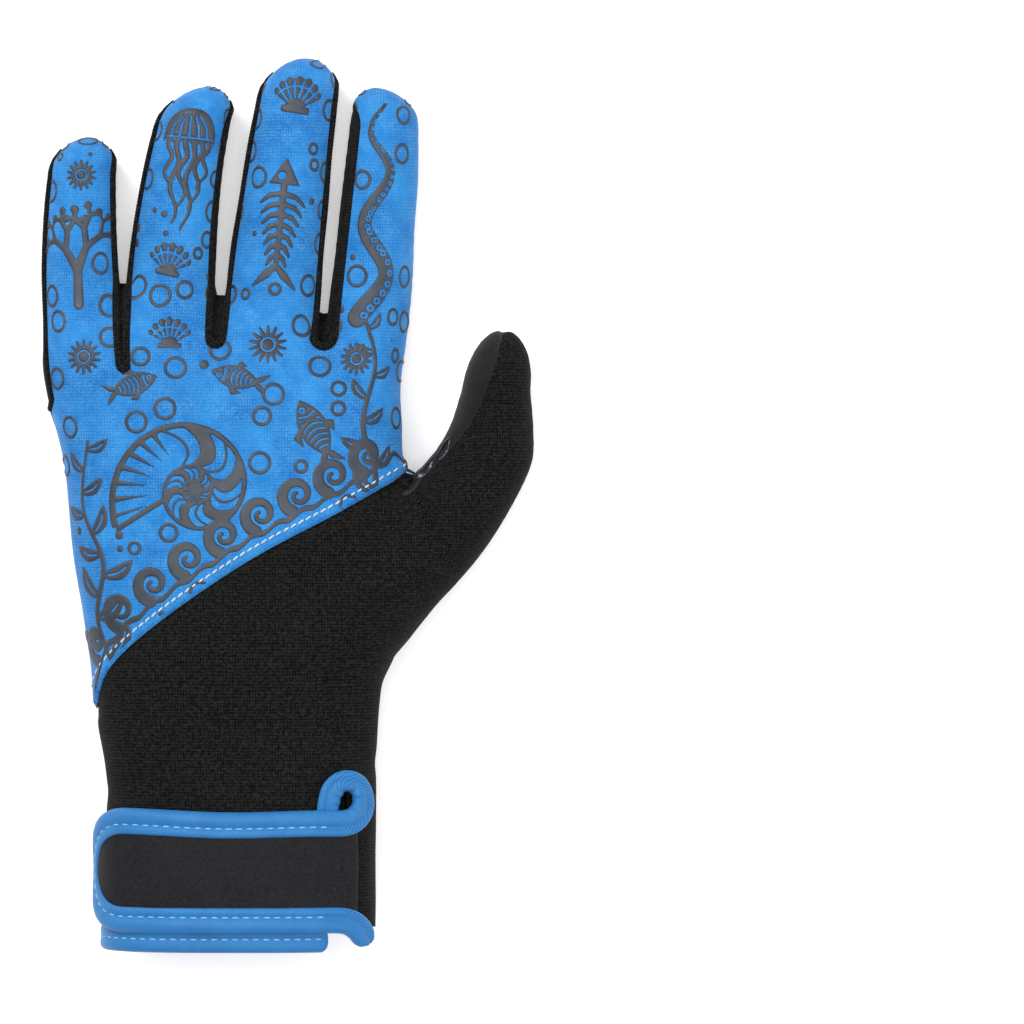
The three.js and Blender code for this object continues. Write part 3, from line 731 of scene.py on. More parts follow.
def tops(x, y):
    """The highest point of the skin above each place in plan."""
    levels = np.linspace(2.0, 38.0, 19)
    z = np.full(x.shape, 8.0)
    for level in levels:
        z = np.where(body(x, y, np.full(x.shape, level)) < 0, level, z)
    low, high = z, z + 2.0
    for _ in range(10):
        mid = (low + high) / 2
        inner = body(x, y, mid) < 0
        low, high = np.where(inner, mid, low), np.where(inner, high, mid)
    return np.column_stack([x, y, low])


def grid_faces(rows, columns, wrap):
    """Quads of a grid of points, its columns joined round if wrap is set."""
    i, j = np.meshgrid(np.arange(rows - 1), np.arange(columns if wrap else columns - 1), indexing="ij")
    i, j = i.ravel(), j.ravel()
    k = (j + 1) % columns
    return np.column_stack([i * columns + j, i * columns + k, (i + 1) * columns + k, (i + 1) * columns + j])


def capped(points, rows, columns):
    """A swept tube's quads, with a fan of quads on a middle point at each end."""
    quads = grid_faces(rows, columns, True)
    ends = []
    for row, turn in ((0, -1), (rows - 1, 1)):
        centre = len(points)
        ring = row * columns + np.arange(columns)
        points = np.vstack([points, points[ring].mean(0)])
        pairs = np.column_stack([ring, np.roll(ring, -1)])[:, ::turn]
        fan = np.column_stack([pairs[:, 0], pairs[:, 1], np.full(columns, centre)])
        ends.append(fan)
    return points, [*quads.tolist(), *np.vstack(ends).tolist()]

# %% Lay the rolled edges
ROLL_WIDTH = 1.05
ROLL_HEIGHT = 0.8
ROLL_STEP = 0.3
ROLL_SIDES = 12
THREAD_PITCH = 0.95
THREAD_SWELL = 0.09  # share by which the overlock thread swells the roll


def roll(path, width):
    """Points of a rolled edge along a plan path with a half width at each point."""
    line = resample(np.column_stack([path, width]), ROLL_STEP)
    centre = settle(skin, tops(line[:, 0], line[:, 1]), 4, 1.5)
    normal = unit(gradient(skin, centre))
    tangent = unit(np.gradient(centre, axis=0))
    across = np.cross(normal, tangent)
    turn = np.linspace(0, 2 * pi, ROLL_SIDES, endpoint=False)
    run = along(centre)[:, None]
    thread = 1 + THREAD_SWELL * np.sin(2 * pi * run / THREAD_PITCH + 2 * turn[None])
    c = np.cos(turn) * thread * line[:, 2:3]
    s_ = np.sin(turn) * thread * line[:, 2:3] * ROLL_HEIGHT / ROLL_WIDTH
    ring = centre[:, None] + c[..., None] * across[:, None] + (s_[..., None] + 0.15) * normal[:, None]
    return ring.reshape(-1, 3), len(line), run.repeat(ROLL_SIDES, 1).ravel(), np.tile(turn, len(line))


def finger_side(finger, seam, side, bottom, steps=70):
    """Plan path of a seam up one side of a finger, set off from it by the roll's half width."""
    end = finger["width"] / 2
    top = knuckle_line + finger["reach"] - end + GUSSET_END * end
    y = np.linspace(bottom, top, steps)
    return np.column_stack([seam_edge(finger, y, seam, side) + side * ROLL_WIDTH * 0.6, y])


def add_roll(name, path, width):
    """A rolled edge as its own piece."""
    ring, rows, run, turn = roll(path, width)
    ring, face_list = capped(ring, rows, ROLL_SIDES)
    piece = mesh_piece(name, ring, face_list)
    plan = np.column_stack([np.append(turn, [0, 0]), np.append(run, [0, run[-1]])])
    set_weave(piece, plan)
    pieces[name] = piece


for number, slot in enumerate(SLOTS):
    left, right = (FINGERS[i] for i in slot["fingers"])
    middle_x, radius, centre_y_ = slot_shape(slot)
    turn = np.linspace(pi, 2 * pi, 24)[1:-1]
    inner_radius = radius - ROLL_WIDTH * 0.75
    bend = np.column_stack([middle_x + inner_radius * np.cos(turn), centre_y_ + inner_radius * np.sin(turn)])
    rise = finger_side(right, slot["seams"][1], -1, centre_y_)
    fall = finger_side(left, slot["seams"][0], 1, centre_y_)[::-1]
    widths = [np.interp(np.arange(len(fall)), [0, 8, len(fall)], [0.35, 0.95, ROLL_WIDTH]),
              np.full(len(bend), ROLL_WIDTH * 1.2),
              np.interp(np.arange(len(rise)), [0, len(rise) - 8, len(rise)], [ROLL_WIDTH, 0.9, 0.35])]
    if number == len(SLOTS) - 1:  # on the index finger the roll runs out early
        rise = rise[:12]
        widths[2] = np.linspace(ROLL_WIDTH, 0.2, 12)
    add_roll(slot["name"].replace("gusset", "roll"), np.vstack([fall, bend, rise]), np.concatenate(widths))

little = FINGERS[0]
side_y = np.linspace(LITTLE_SIDE_BOTTOM * HAND_LENGTH, knuckle_line, 12)
foot_x = seam_edge(little, np.full(12, knuckle_line), LITTLE_SIDE_SEAM, -1)
foot_x = foot_x - (knuckle_line - side_y) * LITTLE_SIDE_SLANT
strip = np.vstack([np.column_stack([foot_x - 0.6, side_y])[:-1],
                   finger_side(little, LITTLE_SIDE_SEAM, -1, knuckle_line)])
add_roll("roll_little_side", strip, np.interp(np.arange(len(strip)), [0, 8, len(strip) - 8, len(strip)],
                                              [0.3, 0.95, 0.95, 0.35]))

# %% [markdown]
# ## Strap and tapes
# The strap, its binding and the hem's tape follow the cuff. The cuff's section is laid out
# flat by its own length, so a place on it is a run round the wrist, a height above the hem and
# a distance off the cloth. Each tape is then one puffed section swept along an outline.

# %% Places on the cuff
CUFF_ROWS = np.linspace(-2, 64, 12)
CUFF_STEPS = 720


def cuff_table():
    """For each row: run round the section, and place and outward direction at each run."""
    angle = np.linspace(-pi / 2, 1.5 * pi, CUFF_STEPS + 1)
    rows = []
    for y in CUFF_ROWS:
        share = max(y, 0) / HAND_LENGTH
        left = column(HAND_ROWS, "left", share) * HAND_WIDTH
        right = column(HAND_ROWS, "right", share) * HAND_WIDTH
        b = column(HAND_ROWS, "height", share) * HAND_HEIGHT / 2
        c, s_ = np.cos(angle), np.sin(angle)
        x = (left + right) / 2 - (right - left) / 2 * np.sign(c) * np.abs(c) ** (2 / 3)
        z = b - column(HAND_ROWS, "rest", share) * FLAT + b * s_
        run = along(np.column_stack([x, z]))
        even = np.linspace(0, run[-1], CUFF_STEPS + 1)
        x, z = np.interp(even, run, x), np.interp(even, run, z)
        turn = unit(np.column_stack([np.gradient(x), np.gradient(z)]))
        rows.append(np.column_stack([x, z, turn[:, 1] * -1, turn[:, 0]]))
    return np.array(rows), run[-1]


cuff_places, cuff_round = cuff_table()
cuff_out = np.sign(cuff_places[0, CUFF_STEPS // 2, 3])


def cuff(w, y, h):
    """Point at run w to the thumb's side of the back's middle, y above the hem, h off the cloth."""
    column_ = (0.5 + np.asarray(w, float) / cuff_round) % 1.0 * CUFF_STEPS
    row = np.clip((y - CUFF_ROWS[0]) / (CUFF_ROWS[1] - CUFF_ROWS[0]), 0, len(CUFF_ROWS) - 1.001)
    i, j = np.floor(row).astype(int), np.floor(column_).astype(int) % CUFF_STEPS
    u, v = (row - i)[..., None], (column_ - np.floor(column_))[..., None]
    low = cuff_places[i, j] * (1 - v) + cuff_places[i, j + 1] * v
    high = cuff_places[i + 1, j] * (1 - v) + cuff_places[i + 1, j + 1] * v
    at = low * (1 - u) + high * u
    off = np.asarray(h)[..., None] * cuff_out * at[..., 2:]
    return np.stack([at[..., 0] + off[..., 0], y + 0 * w, at[..., 1] + off[..., 1]], -1)


def run_to(x, y=20.0, h=2.0):
    """Run round the wrist, on the back, at which the cuff passes under a plan x."""
    w = np.linspace(-45, 45, 361)
    return float(np.interp(x, cuff(w, np.full(w.shape, y), np.full(w.shape, h))[:, 0], w))


print("cuff measures", round(cuff_round, 1), "mm round")

# %% Tape sections and outlines
TAPE_WIDTH = 7.2
STRAP_LOW = 5.6
STRAP_HIGH = 40.0
STRAP_MIDDLE = (STRAP_LOW + STRAP_HIGH) / 2
STRAP_END = (STRAP_HIGH - STRAP_LOW) / 2  # radius of the strap's round end
STRAP_LEFT = -49.5
STITCH_ACROSS = 4.5  # from the tape's outer edge to its stitches
STITCH_PITCH = 2.9
HEM_STITCH_ACROSS = 3.9
STRAP_SAG = 0.9  # how far the strap's upper edge sags in the middle
STRAP_DROP = 0.65  # how much lower it ends at the loop
TAPE_STEP = 0.36
GATHER_PITCH = 2.1  # spacing of the gathers round the loop's hole
BINDING = table("across height", [
    (0.9, 0.35), (0.25, 0.6), (0, 1.2), (-0.08, 2.0), (0.2, 2.75), (0.8, 3.3), (1.7, 3.62), (2.6, 3.62),
    (3.4, 3.4), (4.0, 3.08), (4.35, 2.86), (4.65, 2.86), (5.0, 3.05), (5.6, 3.25), (6.3, 3.22),
    (6.85, 3.0), (7.15, 2.6), (7.1, 2.1), (6.4, 1.6), (3.6, 1.2),
])
HEM = table("across height", [
    (7.0, 0.5), (7.0, 0.95), (6.2, 1.2), (5.2, 1.3), (4.4, 1.2), (4.05, 0.98), (3.75, 0.98), (3.3, 1.2),
    (2.4, 1.4), (1.4, 1.36), (0.6, 0.95), (0.15, 0.1), (0.05, -1.1), (0.2, -2.5), (0.9, -3.3), (2.2, -3.6),
    (4.0, -3.55), (5.2, -3.3), (5.3, -2.7), (1.5, -2.35), (1.3, -1.1), (1.5, 0.15),
])


def plan_path(points_, steps=10):
    """A smooth path on the cuff through plan points, as (w, y)."""
    curve = spline(np.array(points_, float), steps)
    return np.column_stack([[run_to(x, y_, 2.0) for x, y_ in curve], curve[:, 1]])


# Plan places that the tape's outer edge passes through below and above the strap
TAIL = [(37.9, 0.6), (37.2, 2.0), (36.0, 3.9), (33.9, 5.3), (31.2, 5.6), (29.4, 5.6)]
LOOP = [(31.5, 39.35), (33.2, 39.35), (34.9, 39.5), (36.5, 40.5), (37.0, 42.2), (36.4, 44.0), (35.0, 44.8),
        (33.9, 43.8), (33.4, 41.8), (33.2, 39.6), (33.2, 37.8)]


def strap_outline():
    """The tape's outer edge in three runs: its tail, its way round the strap, and its loop."""
    right = run_to(31.5)
    turn = np.linspace(1.5 * pi, 0.5 * pi, 60)
    arc = np.column_stack([STRAP_LEFT + STRAP_END + STRAP_END * np.cos(turn),
                           STRAP_MIDDLE + STRAP_END * np.sin(turn)])
    low = np.column_stack([np.linspace(right, arc[0, 0], 40)[:-1], np.full(39, STRAP_LOW)])
    high = np.column_stack([np.linspace(arc[-1, 0], right, 40)[1:], np.full(39, STRAP_HIGH)])
    share = np.clip((high[:, 0] - arc[-1, 0]) / (right - arc[-1, 0]), 0, 1)
    high[:, 1] -= STRAP_SAG * np.sin(pi * share) ** 2 + STRAP_DROP * share ** 3
    return plan_path(TAIL), np.vstack([low[2:], arc, high[:-2]]), plan_path(LOOP)


def inward(line):
    """Unit directions square to a line in the flat, to its right as it runs."""
    step = unit(np.gradient(line, axis=0))
    return np.column_stack([step[:, 1], -step[:, 0]])


def taper(run, start, end, least=0.3):
    """A share that rounds off towards both ends of a run, like the end of a capsule."""
    t = np.clip(np.minimum(run / start, (run[-1] - run) / end), 0, 1)
    return least + (1 - least) * np.sqrt(1 - (1 - t) ** 2)


def tape(name, line, section, lay, width, crease, ends, wrinkle=0.05):
    """Sweep a section along an outline; lay lifts it, width scales it, crease gathers its edge."""
    line = np.column_stack([line, *(np.broadcast_to(k, len(line)) for k in (lay, width, crease))])
    run = along(line[:, :2])
    even = np.linspace(0, run[-1], int(run[-1] / TAPE_STEP))
    line = np.column_stack([np.interp(even, run, column_) for column_ in line.T])
    run = along(line[:, :2])
    side = inward(line[:, :2])
    across, height = section["across"], section["height"]
    middle_ = (across.max() + across.min()) / 2
    close = taper(run, *ends)[:, None]
    span = line[:, 3:4] * (middle_ + (across - middle_) * close)
    stitched, reach = (STITCH_ACROSS, 1.1) if section is BINDING else (HEM_STITCH_ACROSS, 0.9)
    pinch = np.exp(-((across - stitched) / reach) ** 2) * (height > 0.7)
    ripple = wrinkle * np.sin(2 * pi * run / STITCH_PITCH)[:, None] * pinch
    gather = line[:, 4:5] * np.sin(2 * pi * run / GATHER_PITCH)[:, None] * np.exp(-(across / 2.4) ** 2)
    ripple = ripple + gather * (height > 1)
    slow = 0.1 * np.sin(run / 5.3)[:, None] * (height > 2.2)
    rise = line[:, 2:3] + height.mean() + (height - height.mean()) * (0.5 + 0.5 * close) + ripple + slow
    w = line[:, 0:1] + side[:, 0:1] * span
    y = line[:, 1:2] + side[:, 1:2] * span
    points_ = cuff(w, y, rise + 0 * w).reshape(-1, 3)
    points_, face_list = capped(points_, len(line), len(across))
    piece = mesh_piece(name, points_, face_list)
    around = along(np.column_stack([across, height]))
    plan = np.column_stack([np.tile(around, len(line)), run.repeat(len(across))])
    set_weave(piece, np.vstack([plan, plan[[0, -1]]]))
    pieces[name] = piece
    MATERIAL_SLOTS[name] = "blue_tape"


tail, outline, loop = strap_outline()
counts = [len(tail), len(outline), len(loop)]


def by_part(at_tail, at_loop, middle_value):
    """Values along the whole tape: some over its tail, one over the strap, some over its loop."""
    share = [np.linspace(0, 1, n) for n in counts]
    return np.concatenate([np.interp(share[0], np.linspace(0, 1, len(at_tail)), at_tail),
                           np.full(counts[1], middle_value),
                           np.interp(share[2], np.linspace(0, 1, len(at_loop)), at_loop)])


tape("strap_tape", np.vstack([tail, outline, loop]), BINDING,
     by_part([0.5, 0.3, 0.0], [0, 0, 0, 0.2, 0.1, -0.4, -1.2, -2.6], 0.0),
     by_part([0.92, 1.0, 1.0], [1, 1, 0.95, 0.8, 0.8, 0.88, 0.88, 0.88], 1.0),
     by_part([0, 0], [0, 0.1, 0.4, 0.45, 0.4, 0.45, 0.2, 0], 0.0), (3.2, 1.2))
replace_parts(pieces["strap_tape"], "strap_binding", "vent_loop", "binding_tail")

# %% The strap's own cloth
panel_right = run_to(38.6)
panel_left = STRAP_LEFT + TAPE_WIDTH - 0.9
inner_end = STRAP_END - TAPE_WIDTH + 0.9
t = np.linspace(0, 1, 150)[:, None]
w = panel_left + (panel_right - panel_left) * t ** 1.6
half = inner_end * np.sqrt(np.clip(1 - np.maximum((panel_left + inner_end - w) / inner_end, 0) ** 2, 0, 1))
v = np.linspace(-1, 1, 41)[None]
y = STRAP_MIDDLE - 0.35 + v * (half + 0.25 * (t > 0.2))
dents = 0.1 * np.sin(w / 6.1 + 1) * np.cos(y / 5.0) + 0.06 * np.sin(w / 2.7 + y / 3.1)
h = 2.45 + 0.3 * (1 - v ** 2) + dents - 1.6 * smoothstep(w, panel_right - 1.2, panel_right + 0.2)
cloth = cuff(w + 0 * v, y, h)
panel = mesh_piece("strap_cloth", cloth.reshape(-1, 3), grid_faces(*cloth.shape[:2], False)[:, ::-1].tolist())
set_weave(panel, np.column_stack([(w + 0 * v).ravel(), y.ravel()]))
pieces["strap_cloth"] = panel
MATERIAL_SLOTS["strap_cloth"] = "strap_cloth"
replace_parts(panel, "wrist_strap")

# %% Hem
HEM_END = 36.0  # where its other end lies on the palm side, in plan
palm_run = np.linspace(cuff_round / 2, 50, 200)
palm_end = float(np.interp(HEM_END, cuff(palm_run, 0 * palm_run, 0 * palm_run)[:, 0], palm_run))
hem_run = np.linspace(run_to(30.4, 3), palm_end - cuff_round, 420)
hem_place = cuff(hem_run, 0 * hem_run, 0 * hem_run)
on_palm = hem_place[:, 2] < HAND_HEIGHT / 2
hem_line = np.column_stack([hem_run, np.where(on_palm, hem_rise(hem_place[:, 0]), 0)])
tape("hem_tape", hem_line, HEM, 0.0, 1.0, 0.0, (2.2, 2.2))
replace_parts(pieces["hem_tape"], "cuff_binding")

# %% [markdown]
# ## Stitches
# A stitch is a short rounded thread with sunk ends, the same small mesh laid down again and
# again: blue-green on the tapes, off-white along the seam across the back.

# %% Lay stitches
STITCH_SIDES = 8
STITCH_RINGS = (0.0, 0.45, 0.85, 1.0)


def stitches(name, centres, runs, normals_, length, thick):
    """Threads at centres, lying along runs, as one mesh of small capsules."""
    level = np.array([*[-v_ for v_ in STITCH_RINGS[:0:-1]], *STITCH_RINGS])
    girth = np.sqrt(np.clip(1 - np.abs(level) ** 3, 0.02, 1))
    turn = np.linspace(0, 2 * pi, STITCH_SIDES, endpoint=False)
    across_ = np.cross(normals_, runs)
    all_points, all_faces = [], []
    for c, r, n, b in zip(centres, runs, normals_, across_):
        sink = -0.35 * thick * level ** 2
        ring = (c + r * (level * length / 2)[:, None, None] + n * sink[:, None, None]
                + b * (np.cos(turn)[None] * girth[:, None] * thick / 2)[..., None]
                + n * (np.sin(turn)[None] * girth[:, None] * thick / 2)[..., None])
        base = sum(len(p_) for p_ in all_points)
        points_, face_list = capped(ring.reshape(-1, 3), len(level), STITCH_SIDES)
        all_points.append(points_)
        all_faces += [[base + k for k in face] for face in face_list]
    pieces[name] = mesh_piece(name, np.vstack(all_points), all_faces)
    MATERIAL_SLOTS[name] = "thread"


def tape_stitches(name, line, across_at, height_at, pitch=STITCH_PITCH):
    """Stitches along a line on the cuff, a fixed way in from the tape's edge."""
    line = resample(line, 0.25)
    seat = line + inward(line) * across_at
    run = along(seat)
    at = np.arange(pitch, run[-1] - pitch, pitch)
    w_, y_ = np.interp(at, run, seat[:, 0]), np.interp(at, run, seat[:, 1])
    w2, y2 = np.interp(at + 0.2, run, seat[:, 0]), np.interp(at + 0.2, run, seat[:, 1])
    here, ahead = cuff(w_, y_, height_at + 0 * w_), cuff(w2, y2, height_at + 0 * w_)
    out = unit(cuff(w_, y_, height_at + 1 + 0 * w_) - here)
    stitches(name, here, unit(ahead - here), out, 1.9, 0.5)


tape_stitches("strap_stitches", np.vstack([tail[-8:-1], outline, loop[1:14]]), STITCH_ACROSS, 3.0)
tape_stitches("hem_stitches", hem_line, HEM_STITCH_ACROSS, 1.1)

CROSS_STITCH_PITCH = 2.3
CROSS_STITCH_IN = 2.5
seam_line = resample(cross_line[1:-2], 0.3)
seam_seat = seam_line + inward(seam_line) * CROSS_STITCH_IN
seam_run = along(seam_seat)
at = np.arange(0.6, seam_run[-1] - 0.5, CROSS_STITCH_PITCH)
seat_x, seat_y = np.interp(at, seam_run, seam_seat[:, 0]), np.interp(at, seam_run, seam_seat[:, 1])
seat = settle(back_field, tops(seat_x, seat_y), 5, 1.0)
seat_out = unit(gradient(back_field, seat))
ahead = unit(np.gradient(seat, axis=0))
ahead = unit(ahead + 0.16 * np.cross(seat_out, ahead))
kept = cross_seam(seat[:, 0], seat[:, 1]) < -1.2
stitches("seam_stitches", (seat + 0.12 * seat_out)[kept], ahead[kept], seat_out[kept], 1.95, 0.56)
print(int(kept.sum()), "stitches across the back")

# %% [markdown]
# ## Raised print
# The print is thick rubber, so it is geometry. A drawing is a function in plan: negative in
# the ink, positive outside it, in millimetres. The panel's own triangles near the ink are
# halved, split exactly along the drawing's edge, and the inked ones are lifted off the cloth.
# The drawings are plain sea motifs: a shell in section, weed, coral, waves, fish, fish bones,
# fan shells, urchins, a jellyfish, an arm with suckers and bubbles.

# %% Pens that draw with distances
def stroke(x, y, line, width):
    """A brush stroke along a polyline, its full width running through the given values."""
    width = np.interp(np.linspace(0, 1, len(line)), np.linspace(0, 1, len(width)), width)
    best = np.full(x.shape, np.inf)
    for (x0, y0), (x1, y1), w0, w1 in zip(line[:-1], line[1:], width[:-1], width[1:]):
        dx, dy = x1 - x0, y1 - y0
        t_ = np.clip(((x - x0) * dx + (y - y0) * dy) / (dx * dx + dy * dy + 1e-9), 0, 1)
        best = np.minimum(best, np.hypot(x - x0 - t_ * dx, y - y0 - t_ * dy) - (w0 + (w1 - w0) * t_) / 2)
    return best


def disc(x, y, cx, cy, r):
    """Distance to a filled circle."""
    return np.hypot(x - cx, y - cy) - r


def hoop(x, y, cx, cy, r, width):
    """Distance to a ring of a width."""
    return np.abs(np.hypot(x - cx, y - cy) - r) - width / 2


def local(x, y, cx, cy, turn):
    """Plan coordinates seen from a centre, turned by an angle in degrees."""
    c, s_ = np.cos(np.radians(turn)), np.sin(np.radians(turn))
    return (x - cx) * c + (y - cy) * s_, (y - cy) * c - (x - cx) * s_


def wavy(x0, y0, x1, y1, swing, waves, start=0.0, steps=30):
    """A line between two points that swings from side to side."""
    t_ = np.linspace(0, 1, steps)
    off = swing * np.sin(2 * pi * waves * t_ + start) * np.minimum(1, 4 * t_)
    length = np.hypot(x1 - x0, y1 - y0)
    return np.column_stack([x0 + (x1 - x0) * t_ - (y1 - y0) / length * off,
                            y0 + (y1 - y0) * t_ + (x1 - x0) / length * off])


# %% Motifs
def shell(x, y, cx, cy, size, turn):
    """A coiled shell cut through: log-spiral walls, curved chamber walls and dark chambers."""
    u, v_ = local(x, y, cx, cy, turn)
    growth = 2.75
    far = np.hypot(u, v_) + 1e-6
    back = np.mod(np.arctan2(v_, u), 2 * pi) - 2 * pi
    whorl = back / (2 * pi) - np.log(far / size) / np.log(growth)
    scale = far * np.log(growth)
    width = np.clip(0.055 * far + 0.6, 0.8, 2.0)
    wall = np.abs(whorl - np.round(whorl)) * scale - width / 2
    wall = np.where(whorl < -0.5, 9.0, wall)
    part = whorl - np.floor(whorl)
    angle = back - 2 * pi * np.floor(whorl)
    chamber = 0.36
    place = (angle + 1.0 * (part - part ** 2) * 1.6) / chamber
    septum = np.abs(place - np.round(place)) * chamber * far - width * 0.36
    deep = (angle < -1.5) & (whorl > 0) & (far > 1.2)
    septum = np.where(deep, septum, 9.0)
    dark = np.abs(np.mod(np.floor(place), 3)) == 0
    gap = np.minimum(part, 1 - part) * scale
    fill = np.where(dark & deep, 0.15 - np.minimum(gap, np.abs(place - np.round(place)) * chamber * far), 9.0)
    flame = np.abs(np.mod(angle / 0.21, 1) - 0.5) * 0.42 * far - 0.62 * (0.62 - part) * 0.21 * far
    flame = np.where((angle > -1.42) & (angle < -0.1) & (whorl > 0) & (whorl < 1) & (part < 0.62), flame, 9.0)
    lip = np.abs(v_ - 0.12 * (u - size * 0.7)) - 0.75
    lip = np.where((u > size / growth) & (u < size), lip, 9.0)
    hub = far - 1.3
    return np.minimum.reduce([wall, septum, fill, flame, lip, hub])


def weed(x, y, line, leaves, size, turn=55.0):
    """A stem with a leaf at each side in turn; every leaf has a bare midrib."""
    ink = stroke(x, y, line, [1.9, 1.5, 0.9])
    bare = np.full(x.shape, 9.0)
    run = along(line)
    for k in range(leaves):
        at_ = run[-1] * (k + 0.6) / leaves
        fx, fy = np.interp(at_, run, line[:, 0]), np.interp(at_, run, line[:, 1])
        gx, gy = np.interp(at_ + 1, run, line[:, 0]) - fx, np.interp(at_ + 1, run, line[:, 1]) - fy
        side = turn if k % 2 else -turn
        head = np.degrees(np.arctan2(gy, gx)) + side
        length = size * (1 - 0.45 * k / leaves)
        c, s_ = np.cos(np.radians(head)), np.sin(np.radians(head))
        bend = np.array([-s_, c]) * length * (0.13 if k % 2 else -0.13)
        leaf = np.array([[fx, fy], [fx + c * length * 0.5, fy + s_ * length * 0.5] + bend,
                         [fx + c * length, fy + s_ * length]])
        leaf = spline(leaf, 6)
        ink = np.minimum(ink, stroke(x, y, leaf, [0.9, 0.32 * length, 0.42 * length, 0.3 * length, 0.3]))
        bare = np.minimum(bare, stroke(x, y, leaf[2:-3], [0.5, 0.6, 0.45]))
    return np.maximum(ink, -bare)


def fish(x, y, cx, cy, size, turn):
    """A fish from the side: a lens with bare gill, scales and eye, and a forked tail."""
    u, v_ = local(x, y, cx, cy, turn)
    half = size / 2
    body_ = np.abs(v_) - 0.44 * half * (1 - (u / half) ** 2) - 0.04 * half * (half - u) / half
    body_ = np.maximum(body_ * 0.85, np.abs(u) - half)
    ink = body_
    for fin in ([(-0.8, 0), (-1.1, 0.16), (-1.42, 0.44)], [(-0.8, 0), (-1.1, -0.16), (-1.42, -0.44)],
                [(0.1, 0.4), (-0.1, 0.62), (-0.42, 0.58)], [(0.0, -0.4), (-0.15, -0.58), (-0.4, -0.56)]):
        ink = np.minimum(ink, stroke(u, v_, np.array(fin) * half, [0.1 * half, 0.24 * half, 0.05 * half]))
    eye = (0.64 * half, 0.08 * half)
    bare = np.maximum(disc(u, v_, *eye, 0.115 * half), -disc(u, v_, *eye, 0.045 * half))
    bare = np.minimum(bare, np.maximum(hoop(u, v_, 0.95 * half, 0, 0.55 * half, 0.62), body_ + 0.5))
    row = u / (0.2 * half)
    scale_ = np.abs(np.mod(row + 1.6 * (v_ / (0.3 * half)) ** 2 * 0.3, 1) - 0.5) * 0.2 * half - 0.27
    scale_ = np.maximum(scale_, np.maximum(body_ + 0.7, np.abs(u + 0.25 * half) - 0.5 * half))
    return np.maximum(ink, -np.minimum(bare, scale_))


def bones(x, y, cx, cy, size, turn):
    """The bones of a fish: head with an eye, back bone, swept ribs and a forked tail."""
    u, v_ = local(x, y, cx, cy, turn)
    h_ = size / 2
    ink = stroke(u, v_, np.array([(-0.75 * h_, 0), (0.6 * h_, 0)]), [1.3, 1.9])
    for k in range(7):
        root = (0.42 - 0.16 * k) * h_
        reach = (0.36 - 0.035 * k) * h_
        for side in (1, -1):
            rib = np.array([(root, 0), (root - 0.05 * h_, side * reach * 0.6),
                            (root - 0.17 * h_, side * reach)])
            ink = np.minimum(ink, stroke(u, v_, rib, [1.6, 1.4, 0.8]))
    head = np.maximum(np.abs(v_) - 0.62 * (h_ * 0.98 - u) * 0.95, 0.56 * h_ - u)
    head = np.maximum(head, -disc(u, v_, 0.69 * h_, 0.05 * h_, 0.065 * h_))
    ink = np.minimum(ink, head)
    for side in (1, -1):
        fork = np.array([(-0.7 * h_, 0), (-0.86 * h_, side * 0.14 * h_), (-1.05 * h_, side * 0.34 * h_)])
        ink = np.minimum(ink, stroke(u, v_, fork, [1.4, 2.4, 0.7]))
    return ink


def fan(x, y, cx, cy, size, turn):
    """A fan shell: bare lines spread from the hinge, a scalloped edge and two small ears."""
    u, v_ = local(x, y, cx, cy, turn)
    far, angle = np.hypot(u, v_), np.arctan2(u, v_)
    spread = np.radians(62)
    edge = size * (1 + 0.05 * np.cos(angle / spread * 7 * pi)) * (1 - 0.16 * (angle / spread) ** 2)
    ink = np.maximum((far - edge) * 0.9, (np.abs(angle) - spread) * np.minimum(far, size * 0.6))
    rib = np.abs(np.mod(angle / spread * 3.5, 1) - 0.5) * spread / 3.5 * far
    bare = np.maximum(np.maximum(rib - 0.34, 0.34 * size - far), far - 0.9 * size)
    band = np.maximum(np.abs(far - 0.7 * size) - 0.32, np.abs(angle) - spread * 0.9)
    hinge = np.array([(-0.32, 0.02), (0.32, 0.02)]) * size
    ears = stroke(u, v_, hinge, [0.2 * size] * 2)
    return np.minimum(np.maximum(ink, -np.minimum(bare, band)), ears)


def urchin(x, y, cx, cy, size):
    """A sea urchin: a disc with a bare ring, and spines all round."""
    u, v_ = x - cx, y - cy
    far, angle = np.hypot(u, v_), np.arctan2(v_, u)
    ink = np.maximum(far - 0.52 * size, -(np.abs(far - 0.36 * size) - 0.3))
    spine = np.abs(np.mod(angle / (2 * pi) * 14, 1) - 0.5) * 2 * pi / 14 * far
    spine = np.maximum(spine - 0.62 * (1.3 - far / size) - 0.12, far - size)
    return np.minimum(ink, np.maximum(spine, 0.4 * size - far))


